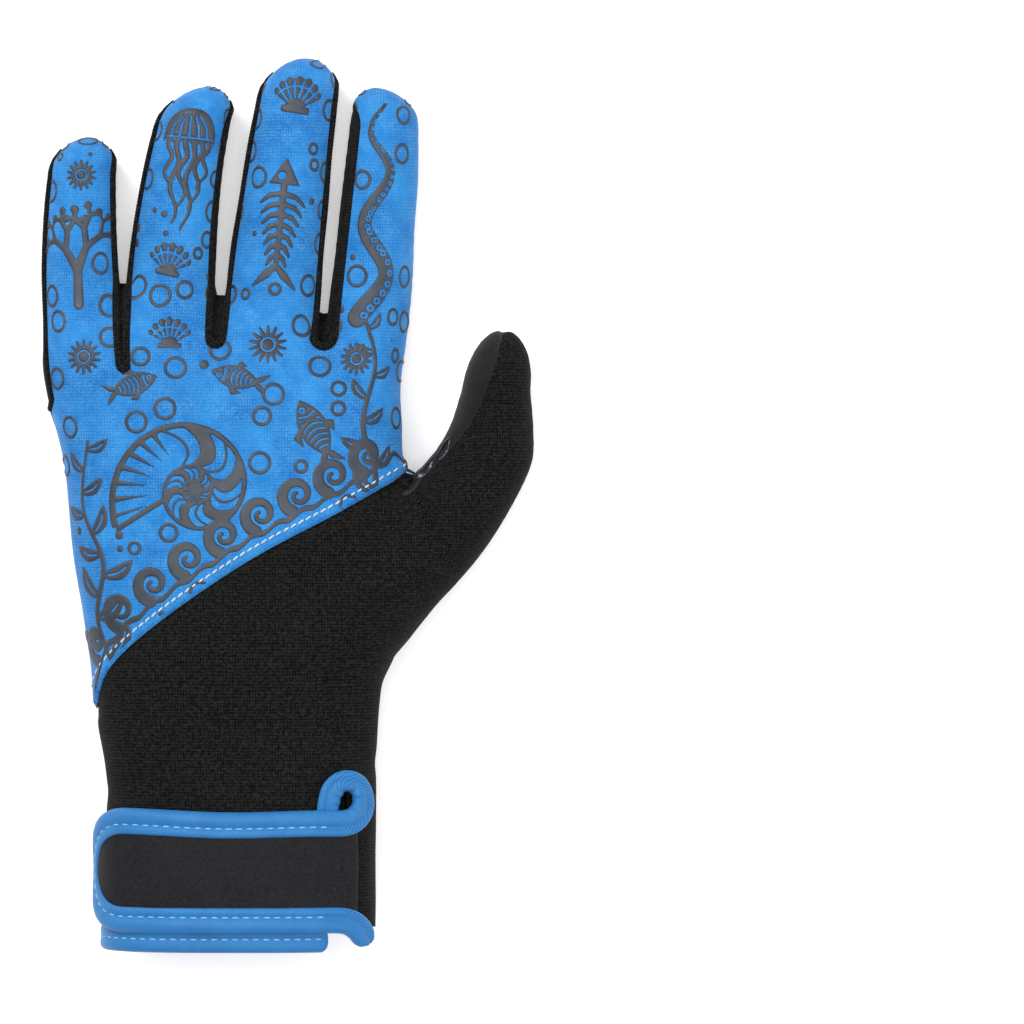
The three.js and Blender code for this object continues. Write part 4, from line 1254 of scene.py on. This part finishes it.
def jelly(x, y, cx, cy, size, turn):
    """A jellyfish: a bell with bare ribs and a frilled hem, over wavy trailing arms."""
    u, v_ = local(x, y, cx, cy, turn)
    frill = -v_ - 0.12 * size + 0.06 * size * np.cos(u / size * 9 * pi)
    bell = np.maximum(np.hypot(u, v_ * 0.92) - size, frill)
    bare = np.full(x.shape, 9.0)
    for k in (-0.66, -0.33, 0, 0.33, 0.66):
        bare = np.minimum(bare, stroke(u, v_, np.array([(k * size, 0.05 * size), (k * 0.9 * size, 0.4 * size),
                                                       (k * 0.45 * size, 0.8 * size)]), [0.75, 0.7, 0.4]))
    bare = np.minimum(bare, np.maximum(np.abs(v_ - 0.02 * size) - 0.28, np.abs(u) - 0.86 * size))
    ink = np.maximum(bell, -bare)
    for k, reach in ((-0.72, 1.9), (-0.4, 2.9), (-0.1, 2.3), (0.2, 3.1), (0.5, 2.4), (0.78, 1.7)):
        arm = wavy(k * size, -0.1 * size, k * 0.75 * size, -reach * size, 0.14 * size, 1.6, 2 * k)
        ink = np.minimum(ink, stroke(u, v_, arm, [1.6, 1.3, 0.7]))
    return ink


def coral(x, y, cx, cy, size, turn, depth=4):
    """A branching coral: each branch forks into two shorter ones and ends in a round bud."""
    ink = np.full(x.shape, 9.0)
    branches = [(cx, cy, turn, size, 0)]
    while branches:
        bx, by, head, length, level = branches.pop()
        ex, ey = bx + length * np.cos(np.radians(head)), by + length * np.sin(np.radians(head))
        width = [2.9, 2.5, 2.0, 1.6, 1.3][level]
        ink = np.minimum(ink, stroke(x, y, np.array([(bx, by), (ex, ey)]), [width, width * 0.85]))
        if level < depth:
            lean = 27 + 6 * level
            branches.append((ex, ey, head - lean * (1.1 if level % 2 else 0.8), length * 0.76, level + 1))
            branches.append((ex, ey, head + lean * (0.8 if level % 2 else 1.1), length * 0.72, level + 1))
        else:
            ink = np.minimum(ink, disc(x, y, ex, ey, 1.15))
    return ink


def tentacle(x, y, line, width):
    """A tapering arm with a row of bare round suckers, each with an inked middle."""
    line = resample(line, 0.9)
    ink = stroke(x, y, line, width)
    bare = np.full(x.shape, 9.0)
    run, side = along(line), inward(line)
    at_ = 1.5
    while at_ < run[-1] - 3:
        girth = np.interp(at_ / run[-1], np.linspace(0, 1, len(width)), width)
        i = int(np.searchsorted(run, at_))
        sx, sy = line[i] + side[i] * girth * 0.22
        r = max(girth * 0.2, 0.45)
        bare = np.minimum(bare, np.maximum(disc(x, y, sx, sy, r), -disc(x, y, sx, sy, r * 0.42)))
        at_ += r * 2 + 0.55
    return np.maximum(ink, -bare)


def scroll_line(size, turns, steps=34):
    """A wave's scroll: a curve that rises from its foot and curls in on itself."""
    t_ = np.linspace(0, 1, steps)
    angle = pi * 1.25 - t_ * 2 * pi * turns
    far = size * (1 - 0.86 * t_)
    return np.column_stack([far * np.cos(angle), far * np.sin(angle)])


# %% Set the motifs out over the back
def scrolls(x, y, low, high):
    """Curling waves along the seam between two shares of its length."""
    ink = np.full(x.shape, 9.0)
    base = resample(cross_line[1:-1], 0.5)
    side = inward(base)
    run = along(base)
    for at_ in np.arange(low * run[-1], high * run[-1], 11.5):
        i = int(np.searchsorted(run, at_))
        centre = base[i] + side[i] * 9.6
        curl = scroll_line(4.9, 1.35)
        turned = centre - np.column_stack([curl[:, 0] * side[i, 1] * -1 + curl[:, 1] * -side[i, 0],
                                           curl[:, 0] * side[i, 0] + curl[:, 1] * -side[i, 1]])
        ink = np.minimum(ink, stroke(x, y, turned, [3.6, 2.7, 1.9, 1.4, 1.0]))
    band = from_line(x, y, base)
    ink = np.minimum(ink, np.abs(np.abs(band) - 5.0 - 0.45 * np.sin(x * 0.9)) - 0.7)
    return ink


def finger_curve(number, points_, steps=8):
    """A path given by shares: of the finger's half width across, and of its reach along."""
    y_ = knuckle_line + np.array([q[1] for q in points_]) * FINGERS[number]["reach"]
    mid_, _, a_, _, _ = finger_at(FINGERS[number], y_)
    return spline(np.column_stack([mid_ + np.array([q[0] for q in points_]) * a_, y_]), steps)


def finger_place(number, across, reach):
    """Plan place on a finger by the same two shares."""
    return finger_curve(number, [(across, reach), (across, reach)])[0]


stem_left = spline(np.array([(-30, 78), (-36.5, 92), (-33.5, 108), (-40.5, 124), (-38.0, 142)]), 8)
stem_right = spline(np.array([(39, 118), (43.5, 132), (39.5, 147), (43.0, 163), (40.0, 176)]), 8)
arm_line = finger_curve(3, [(-0.2, 0.26), (0.45, 0.4), (-0.25, 0.56), (0.35, 0.72),
                            (-0.3, 0.85), (0.15, 0.95)])
BACK_MOTIFS = [
    (lambda x, y: shell(x, y, -7.5, 128.5, 24.5, 205), (-36, 98, 24, 160)),
    (lambda x, y: weed(x, y, stem_left, 11, 12.0), (-52, 70, -18, 160)),
    (lambda x, y: weed(x, y, stem_right, 9, 9.5), (24, 108, 56, 190)),
    (lambda x, y: scrolls(x, y, 0.06, 0.9), (-48, 60, 56, 156)),
    (lambda x, y: fish(x, y, 25.5, 146.0, 17.0, 118), (8, 128, 42, 166)),
    (lambda x, y: fish(x, y, -24.0, 158.0, 13.0, 20), (-38, 148, -8, 168)),
    (lambda x, y: urchin(x, y, *finger_place(0, 0.0, 0.16), 5.0), (-50, 158, -26, 176)),
    (lambda x, y: coral(x, y, *finger_place(0, -0.05, 0.36), 9.5, 92), (-56, 172, -20, 236)),
    (lambda x, y: fan(x, y, *finger_place(1, 0.0, 0.17), 8.0, 0), (-30, 160, 0, 186)),
    (lambda x, y: jelly(x, y, *finger_place(1, 0.0, 0.83), 8.3, -6), (-32, 190, 8, 250)),
    (lambda x, y: fan(x, y, *finger_place(2, 0.0, 0.84), 10.0, -8), (2, 226, 40, 256)),
    (lambda x, y: bones(x, y, *finger_place(2, 0.0, 0.52), 36.0, 84), (0, 176, 36, 232)),
    (lambda x, y: urchin(x, y, *finger_place(2, 0.0, 0.16), 5.4), (2, 160, 28, 180)),
    (lambda x, y: tentacle(x, y, arm_line, [5.6, 5.2, 4.4, 3.4, 2.2, 1.0]), (24, 172, 60, 250)),
    (lambda x, y: urchin(x, y, *finger_place(3, -0.1, 0.13), 4.6), (22, 156, 48, 176)),
    (lambda x, y: urchin(x, y, *finger_place(0, 0.0, 0.85), 4.4), (-56, 208, -26, 232)),
    (lambda x, y: fan(x, y, *finger_place(1, -0.1, 0.4), 8.5, -12), (-34, 178, -2, 208)),
    (lambda x, y: fish(x, y, 3.5, 160.0, 13.5, 165), (-8, 150, 14, 170)),
]


def draw(x, y, motifs, bubbles=()):
    """The least distance to any motif, each worked out only near itself, and the bubbles."""
    ink = np.full(x.shape, 9.0)
    for motif, (x0, y0, x1, y1) in motifs:
        near = (x > x0) & (x < x1) & (y > y0) & (y < y1)
        ink[near] = np.minimum(ink[near], motif(x[near], y[near]))
    for bx, by, r in bubbles:
        near = (np.abs(x - bx) < r + 3) & (np.abs(y - by) < r + 3)
        ring_ = hoop(x[near], y[near], bx, by, r, 0.9) if r > 1.3 else disc(x[near], y[near], bx, by, r)
        ink[near] = np.minimum(ink[near], ring_)
    return ink


def fill_with_bubbles(motifs, box_, tries, room=1.7):
    """Bubbles of three sizes wherever the motifs and the bubbles so far leave room."""
    places = rng.uniform([box_[0], box_[1]], [box_[2], box_[3]], (tries, 2))
    free = draw(places[:, 0], places[:, 1], motifs)
    chosen = []
    for (bx, by), space in zip(places, free):
        others = min([np.hypot(bx - cx, by - cy) - r for cx, cy, r in chosen], default=9.0)
        r = min(min(space, others) - room, 2.8)
        if r > 0.6:
            chosen.append((bx, by, r))
    return chosen


bubbles = fill_with_bubbles(BACK_MOTIFS, (-52, 66, 58, 252), 330)
print(len(BACK_MOTIFS), "motifs and", len(bubbles), "bubbles on the back")


# %% Cut the print out of the skin and lift it
def halve(points_, faces_):
    """Split every triangle in four at the middles of its edges."""
    edges = np.sort(np.vstack([faces_[:, [0, 1]], faces_[:, [1, 2]], faces_[:, [2, 0]]]), axis=1)
    unique, place = np.unique(edges, axis=0, return_inverse=True)
    ab, bc, ca = place.reshape(3, -1) + len(points_)
    a_, b_, c_ = faces_.T
    middle_points = points_[unique].mean(1)
    four = [np.column_stack(k) for k in ((a_, ab, ca), (ab, b_, bc), (ca, bc, c_), (ab, bc, ca))]
    return np.vstack([points_, middle_points]), np.vstack(four)


def body_at(p):
    """The body's field at points, one row each."""
    return body(*p.T)


PRINT_HEIGHT = 0.26
PRINT_EDGE = 0.3  # breadth over which the print's edge is rounded
PRINT_MARGIN = 1.2  # the print stops this far short of the seam across the back


def raise_print(name, chosen, field, drawing, halvings, limit=None):
    """The inked part of a panel, as a low relief with rounded edges and a skirt."""
    used, place = np.unique(faces[chosen], return_inverse=True)
    p, f = points[used], place.reshape(-1, 3)

    def ink(q):
        """The drawing's value at points of the cloth, kept inside the limit."""
        plan = unrolled(q, unit(gradient(body_at, q)))
        value = drawing(plan[:, 0], plan[:, 1])
        return value if limit is None else np.maximum(value, limit(q))

    for _ in range(halvings):
        near = (ink(p)[f] < 1.3).any(1)
        p, f = halve(p, f[near])
    p = settle(field, p, 2, 0.5)
    p, f = cut(p, f, ink, field)
    value = ink(p)
    f = f[value[f].mean(1) < 0]
    used, place = np.unique(f, return_inverse=True)
    p, f, value = p[used], place.reshape(-1, 3), value[used]
    n = unit(gradient(field, p))
    rise = PRINT_HEIGHT * (0.35 + 0.65 * smoothstep(-value, 0.0, PRINT_EDGE))
    lifted = p + n * rise[:, None]
    lifted, f, n = skirt(lifted, f, n, PRINT_HEIGHT + 0.15)
    piece = make_piece(name, lifted, f)
    set_weave(piece, lifted[:, :2])
    pieces[name] = piece
    MATERIAL_SLOTS[name] = "print"
    print(name, len(f), "triangles")


raise_print("back_print", back, back_field, lambda x, y: draw(x, y, BACK_MOTIFS, bubbles), 1,
            lambda q: PRINT_MARGIN + cross_seam(q[:, 0], q[:, 1]))

# %% Grip pads on the suede
FINGER_PADS = [(number, reach) for number in range(4) for reach in (0.2, 0.36, 0.58, 0.74, 0.9)]
PALM_SIDE = 4.0  # the height under which the suede counts as palm
PALM_SPOTS = table("x y wide long turn", [
    (-30, 132, 8, 16, 8), (-14, 140, 8, 17, 3), (4, 140, 8, 17, -3), (22, 134, 8, 16, -8),
    (-30, 108, 9, 15, 14), (-13, 114, 9, 17, 5), (6, 114, 9, 17, -5), (-27, 85, 9, 14, 16),
    (-10, 88, 9, 16, 4), (8, 87, 8, 15, -6), (44, 118, 7, 14, -40), (56, 134, 6, 12, -42),
    (66, 150, 5, 10, -40),
])
LENS_SPOTS = table("x y wide long turn", [
    (54, 149, 3.4, 8, -28), (59.5, 141, 3.2, 7, -20), (55.5, 137, 2.6, 6, -30),
])


def pads(x, y, spots, holes):
    """Lens-shaped pads: two arcs that meet in points, with a bare curved slit if holes is set."""
    ink = np.full(x.shape, 9.0)
    for cx, cy, wide, long_, turn in zip(*spots.values()):
        u, v_ = local(x, y, cx, cy, turn)
        lens = (np.abs(u) - wide / 2 * (1 - (2 * v_ / long_) ** 2)) * 0.85
        if holes:
            slit = np.abs(u - 0.12 * wide * np.cos(v_ / long_ * 5)) - 0.4
            lens = np.maximum(lens, -np.maximum(slit, np.abs(v_) - 0.27 * long_))
        ink = np.minimum(ink, lens)
    return ink


def palm_drawing(x, y):
    """Pads over the palm, and a row of smaller ones set crosswise up each finger's front."""
    ink = pads(x, y, PALM_SPOTS, True)
    for number, reach in FINGER_PADS:
        size = 8.5 if reach < 0.8 else 6.5
        spot = (*finger_place(number, 0.0, reach), size * 0.7, size * 1.5, 90)
        ink = np.minimum(ink, pads(x, y, table("x y wide long turn", [spot]), True))
    return ink


raise_print("palm_print", (mz < PALM_SIDE) & palm, skin, palm_drawing, 0)
raise_print("lens_print", inner, skin, lambda x, y: pads(x, y, LENS_SPOTS, False), 1)

# %% [markdown]
# ## Materials
# Shader formulas are written as ordinary maths on a small socket class. Every cloth pattern
# reads the weave map that was stored with the mesh, so it follows the cloth round the sides.

# %% A socket that can be added and multiplied
class Wire:
    """A shader socket that takes part in formulas; each operation adds one Math node."""

    def __init__(self, tree, socket):
        """Keep the tree with the socket, so that new nodes land beside it."""
        self.tree, self.socket = tree, socket

    def maths(self, operation, *others, clamp=False):
        """One Math node on this socket and up to two others, sockets or numbers."""
        node = self.tree.nodes.new("ShaderNodeMath")
        node.operation, node.use_clamp = operation, clamp
        for place, value in enumerate((self, *others)):
            put(self.tree, node.inputs[place], value)
        return Wire(self.tree, node.outputs[0])

    def __add__(self, other):
        return self.maths("ADD", other)

    def __radd__(self, other):
        return self.maths("ADD", other)

    def __sub__(self, other):
        return self.maths("SUBTRACT", other)

    def __mul__(self, other):
        return self.maths("MULTIPLY", other)

    def sin(self):
        return self.maths("SINE")

    def abs(self):
        return self.maths("ABSOLUTE")

    def fract(self):
        return self.maths("FRACT")

    def ramp(self, low, high):
        """0 below low, 1 above high, straight between."""
        return ((self - low) * (1 / (high - low))).maths("ADD", 0.0, clamp=True)


def put(tree, socket, value):
    """Link a wire to a socket, or set the socket to a constant."""
    if isinstance(value, Wire):
        tree.links.new(value.socket, socket)
    else:
        socket.default_value = value


class Look:
    """A material under construction: its tree, its shader and the maps that it reads."""

    def __init__(self, name):
        """A new material with its shader, object coordinates and weave map ready to use."""
        self.material = bpy.data.materials.new(name)
        self.material.use_nodes = True
        self.tree = self.material.node_tree
        self.shader = self.tree.nodes["Principled BSDF"]
        self.object = self.node("ShaderNodeTexCoord", output="Object")
        self.flat = self.node("ShaderNodeAttribute", output="Vector", attribute_name="weave")
        self.u = self.node("ShaderNodeSeparateXYZ", {"Vector": self.flat}, output="X") * 1000
        self.v = self.node("ShaderNodeSeparateXYZ", {"Vector": self.flat}, output="Y") * 1000

    def node(self, kind, inputs=None, output=0, **settings):
        """Add a node, set its options and inputs, and return one output as a wire."""
        node = self.tree.nodes.new(kind)
        for key, value in settings.items():
            setattr(node, key, value)
        for key, value in (inputs or {}).items():
            put(self.tree, node.inputs[key], value)
        return Wire(self.tree, node.outputs[output])

    def noise(self, size_mm, detail, rough=0.55):
        """Noise between 0 and 1 with features of a size in millimetres."""
        inputs = {"Vector": self.object, "Scale": 1000 / size_mm, "Detail": detail, "Roughness": rough}
        return self.node("ShaderNodeTexNoise", inputs)

    def mix(self, share, dark, light):
        """Colour between two, each a colour or a wire."""
        node = self.tree.nodes.new("ShaderNodeMix")
        node.data_type = "RGBA"
        for place, value in ((0, share), (6, dark), (7, light)):
            value = (*value, 1.0) if isinstance(value, tuple) else value
            put(self.tree, node.inputs[place], value)
        return Wire(self.tree, node.outputs[2])

    def bump(self, height, depth_mm):
        """Turn a height of 0 to 1 into a shading normal."""
        inputs = {"Height": height, "Distance": depth_mm / 1000, "Strength": 1.0}
        normal = self.node("ShaderNodeBump", inputs)
        put(self.tree, self.shader.inputs["Normal"], normal)

    def paint(self, **values):
        """Set inputs of the shader: wires are linked, numbers are set."""
        for key, value in values.items():
            put(self.tree, self.shader.inputs[key.replace("_", " ").title().replace("Ior", "IOR")], value)
        return self.material


# %% Knitted neoprene, suede, print, tape and thread
COURSE = 0.88  # spacing of the knit's rows
WALE = 0.80  # spacing of its columns
TWILL = 0.52  # spacing of the slanting lines in the tape's weave


def knit(look):
    """Height of a plain knit: rows of small V shapes, broken up by noise."""
    stray = look.noise(1.6, 2.0) * 0.35
    lean = ((look.u * (1 / WALE)).fract() - 0.5).abs()
    rows = (look.v * (1 / COURSE) + lean * 0.9 + stray) * (2 * pi)
    columns = ((look.u * (1 / WALE)) * pi).sin().abs()
    return (rows.sin() * 0.5 + 0.5) * columns


def blue_neoprene():
    """Printed blue knit: paler and deeper clouds, with painted light on the knit's raised rows and painted
    shade in its low rows.
    """
    look = Look("blue_neoprene")
    height = knit(look)
    grain = look.noise(0.5, 3.0, rough=0.7)
    cloud = look.noise(14.0, 2.0)
    worn = look.noise(4.0, 3.0)
    deep = look.mix(cloud.ramp(0.35, 0.68), BLUE_DEEP, BLUE_MAIN)
    pale = look.mix(worn.ramp(0.3, 0.75), BLUE_MAIN, BLUE_PALE)
    # The knit's height sets the colour too: painted shade in its low rows, painted light on its raised ones.
    color = look.mix((height * 0.5 + grain.ramp(0.32, 0.68) * 0.6).ramp(0.1, 0.95), deep, pale)
    look.bump(height * 0.6 + grain * 0.7, 0.13)
    return look.paint(base_color=color, roughness=0.62 + grain * 0.25, sheen_weight=0.12,
                      sheen_roughness=0.45, specular_ior_level=0.18)


def black_neoprene():
    """Black knit with a fine grey fleck, and painted shade in the knit's low rows."""
    look = Look("black_neoprene")
    height = knit(look)
    grain = look.noise(0.9, 3.0, rough=0.8)
    cloud = look.noise(20.0, 2.0)
    # The knit's height darkens the colour in its low rows: painted shade between the stitches.
    color = look.mix((height * 0.5 + grain.ramp(0.38, 0.66) * 0.7 + cloud * 0.1).ramp(0.25, 1.05),
                     (0.0006, 0.0006, 0.0006), (0.020, 0.020, 0.0205))
    look.bump(height * 0.6 + grain * 0.7, 0.14)
    return look.paint(base_color=color, roughness=0.7 + grain * 0.25, sheen_weight=0.03, sheen_roughness=0.5,
                      specular_ior_level=0.06)


def suede():
    """A short nap, brushed lighter and darker in wide strokes."""
    look = Look("suede")
    nap = look.noise(0.6, 4.0, rough=0.8)
    brushed = look.noise(9.0, 3.0)
    color = look.mix(nap.ramp(0.3, 0.75) * 0.7 + brushed.ramp(0.35, 0.7) * 0.3,
                     (0.003, 0.003, 0.003), (0.019, 0.0185, 0.019))
    look.bump(nap, 0.14)
    return look.paint(base_color=color, roughness=0.8 + nap * 0.2, sheen_weight=0.12, sheen_roughness=0.6,
                      specular_ior_level=0.06)


def rubber_print(name, base, light, rough):
    """Rubber ink, matt or glossy, faintly uneven."""
    look = Look(name)
    fine = look.noise(0.7, 3.0)
    wide = look.noise(6.0, 3.0)
    color = look.mix(wide.ramp(0.3, 0.72) * 0.7 + fine * 0.3, base, light)
    look.bump(fine * 0.6 + look.noise(2.2, 2.0) * 0.6, 0.05)
    return look.paint(base_color=color, roughness=rough + fine * 0.16, specular_ior_level=0.45)


def satin_tape():
    """A tape woven in twill, softly shining."""
    look = Look("blue_tape")
    lines = (look.v + look.u * 0.35) * (1 / TWILL) + look.noise(2.5, 2.0) * 0.5
    twill = (lines * (2 * pi)).sin() * 0.5 + 0.5
    grain = look.noise(0.35, 2.0)
    cloud = look.noise(9.0, 2.0)
    color = look.mix(twill * 0.45 + grain.ramp(0.3, 0.7) * 0.3 + cloud.ramp(0.3, 0.7) * 0.25,
                     TAPE_DEEP, TAPE_PALE)
    look.bump(twill * 0.6 + grain * 0.3, 0.06)
    return look.paint(base_color=color, roughness=0.42 + twill * 0.14, sheen_weight=0.1, sheen_roughness=0.35,
                      specular_ior_level=0.3)


def strap_cloth():
    """Smooth black cloth with a faint fleck."""
    look = Look("strap_cloth")
    grain = look.noise(0.9, 3.0, rough=0.8)
    fleck = look.noise(1.1, 2.0).ramp(0.6, 0.72)
    cloud = look.noise(12.0, 2.0)
    color = look.mix(grain.ramp(0.35, 0.72) * 0.6 + fleck * 0.25 + cloud * 0.15,
                     (0.0015, 0.0016, 0.0026), (0.020, 0.0205, 0.025))
    look.bump(grain, 0.05)
    return look.paint(base_color=color, roughness=0.6 + grain * 0.2, sheen_weight=0.03,
                      specular_ior_level=0.16)


def thread(name, dark, light):
    """Twisted sewing thread between two colours."""
    look = Look(name)
    twist = look.noise(0.35, 2.0)
    return look.paint(base_color=look.mix(twist.ramp(0.3, 0.7), dark, light), roughness=0.45 + twist * 0.2,
                      specular_ior_level=0.4)


BLUE_DEEP = (0.004, 0.095, 0.34)
BLUE_MAIN = (0.014, 0.190, 0.52)
BLUE_PALE = (0.072, 0.345, 0.69)
TAPE_DEEP = (0.006, 0.092, 0.30)
TAPE_PALE = (0.028, 0.215, 0.50)
looks = {
    "blue_neoprene": blue_neoprene(),
    "black_neoprene": black_neoprene(),
    "suede": suede(),
    "strap_cloth": strap_cloth(),
    "blue_tape": satin_tape(),
    "print": rubber_print("print", (0.012, 0.015, 0.023), (0.044, 0.054, 0.075), 0.4),
    "palm_print": rubber_print("palm_print", (0.004, 0.004, 0.0045), (0.012, 0.012, 0.013), 0.16),
    "seam_thread": thread("seam_thread", (0.30, 0.33, 0.36), (0.75, 0.78, 0.8)),
    "tape_thread": thread("tape_thread", (0.06, 0.34, 0.62), (0.22, 0.58, 0.84)),
}
OWN_LOOK = {"seam_stitches": "seam_thread", "strap_stitches": "tape_thread", "hem_stitches": "tape_thread",
            "palm_print": "palm_print", "lens_print": "palm_print"}

# Each piece of cloth, width and length of its flat cut in millimetres, and how it is held. The area of each
# piece is measured on the finished mesh and printed beside the area of its cut. The cut's area is measured
# on the finished mesh, so the two are equal whatever the sizes say.
SHEETS = [
    ("back_skin", 112, 190, "stretched"), ("gauntlet_skin", 190, 150, "stretched"),
    ("palm_skin", 165, 215, "stretched"), ("little_side_skin", 14, 110, "stretched"),
    ("skin_little_ring", 18, 90, "stretched"),
    ("skin_ring_middle", 20, 95, "stretched"), ("skin_middle_index", 22, 100, "stretched"),
    ("strap_cloth", 95, 26, "laid"),
]


def cloth_area(piece):
    """Area of a piece's mesh in square metres."""
    area = np.empty(len(piece.data.polygons))
    piece.data.polygons.foreach_get("area", area)
    return float(area.sum())


for name, wide, long_, held in SHEETS:
    area = cloth_area(pieces[name])
    print(name, round(area * 1e4, 1), "cm2 of cloth cut from", round(wide * long_ / 100, 1))
for name, piece in pieces.items():
    part_slot = MATERIAL_SLOTS.get(name, "black_neoprene")
    piece.data.materials.append(looks[OWN_LOOK.get(name, part_slot)])
    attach(piece, "root")

# %% [markdown]
# ## Studio
# The picture was taken from straight above on white, so the camera looks straight down and the
# glove lies in the left part of the frame. The lights are wide and soft, and the paper glows a
# little, so that the narrow gaps between the fingers stay light.

# %% Floor, light and camera
PIXEL = 0.281  # millimetres of the glove that one pixel of the picture shows
FRAME_PIXELS = 1024
VIEW_MIDDLE = (288.0, 502.0)  # the glove's middle in the picture
CAMERA_HEIGHT = 1.6

bpy.ops.mesh.primitive_plane_add(size=4)
floor = bpy.context.object
floor.name = "floor"
paper = Look("paper")
tooth = paper.noise(1.2, 3.0)
floor.data.materials.append(paper.paint(base_color=paper.mix(tooth, (0.9, 0.9, 0.9), (0.94, 0.94, 0.94)),
                                        roughness=0.75 + tooth * 0.1, specular_ior_level=0.1,
                                        emission_color=paper.mix(tooth, (0.96, 0.96, 0.97), (1.0, 1.0, 1.0)),
                                        emission_strength=0.32))

half_frame = FRAME_PIXELS / 2
camera_data = bpy.data.cameras.new("camera")
camera = bpy.data.objects.new("camera", camera_data)
bpy.context.scene.collection.objects.link(camera)
camera.location = (
    (cad_box[0][0] + cad_box[1][0]) / 2 + (half_frame - VIEW_MIDDLE[0]) * PIXEL / 1000,
    (cad_box[0][1] + cad_box[1][1]) / 2 + (VIEW_MIDDLE[1] - half_frame) * PIXEL / 1000,
    CAMERA_HEIGHT,
)
camera_data.sensor_width = 36
camera_data.lens = 36 * (CAMERA_HEIGHT - 0.012) / (FRAME_PIXELS * PIXEL / 1000)
bpy.context.scene.camera = camera
bpy.context.scene.view_settings.view_transform = "Standard"


def area_light(name, place, aim, size, power):
    """A square soft light that faces a point."""
    data = bpy.data.lights.new(name, "AREA")
    data.size = size
    data.energy = power
    lamp = bpy.data.objects.new(name, data)
    lamp.location = place
    lamp.rotation_euler = (Vector(aim) - Vector(place)).to_track_quat("-Z", "Y").to_euler()
    bpy.context.scene.collection.objects.link(lamp)


area_light("key", (-0.55, 0.75, 1.0), (0, 0, 0), 0.5, 11)
area_light("fill", (0.9, -0.3, 0.8), (0, 0, 0), 0.8, 4)
area_light("top", (0.1, 0.1, 1.5), (0, 0, 0), 0.9, 9)
world = bpy.data.worlds.new("studio")
world.use_nodes = True
world.node_tree.nodes["Background"].inputs["Color"].default_value = (1, 1, 1, 1)
world.node_tree.nodes["Background"].inputs["Strength"].default_value = 0.55
bpy.context.scene.world = world
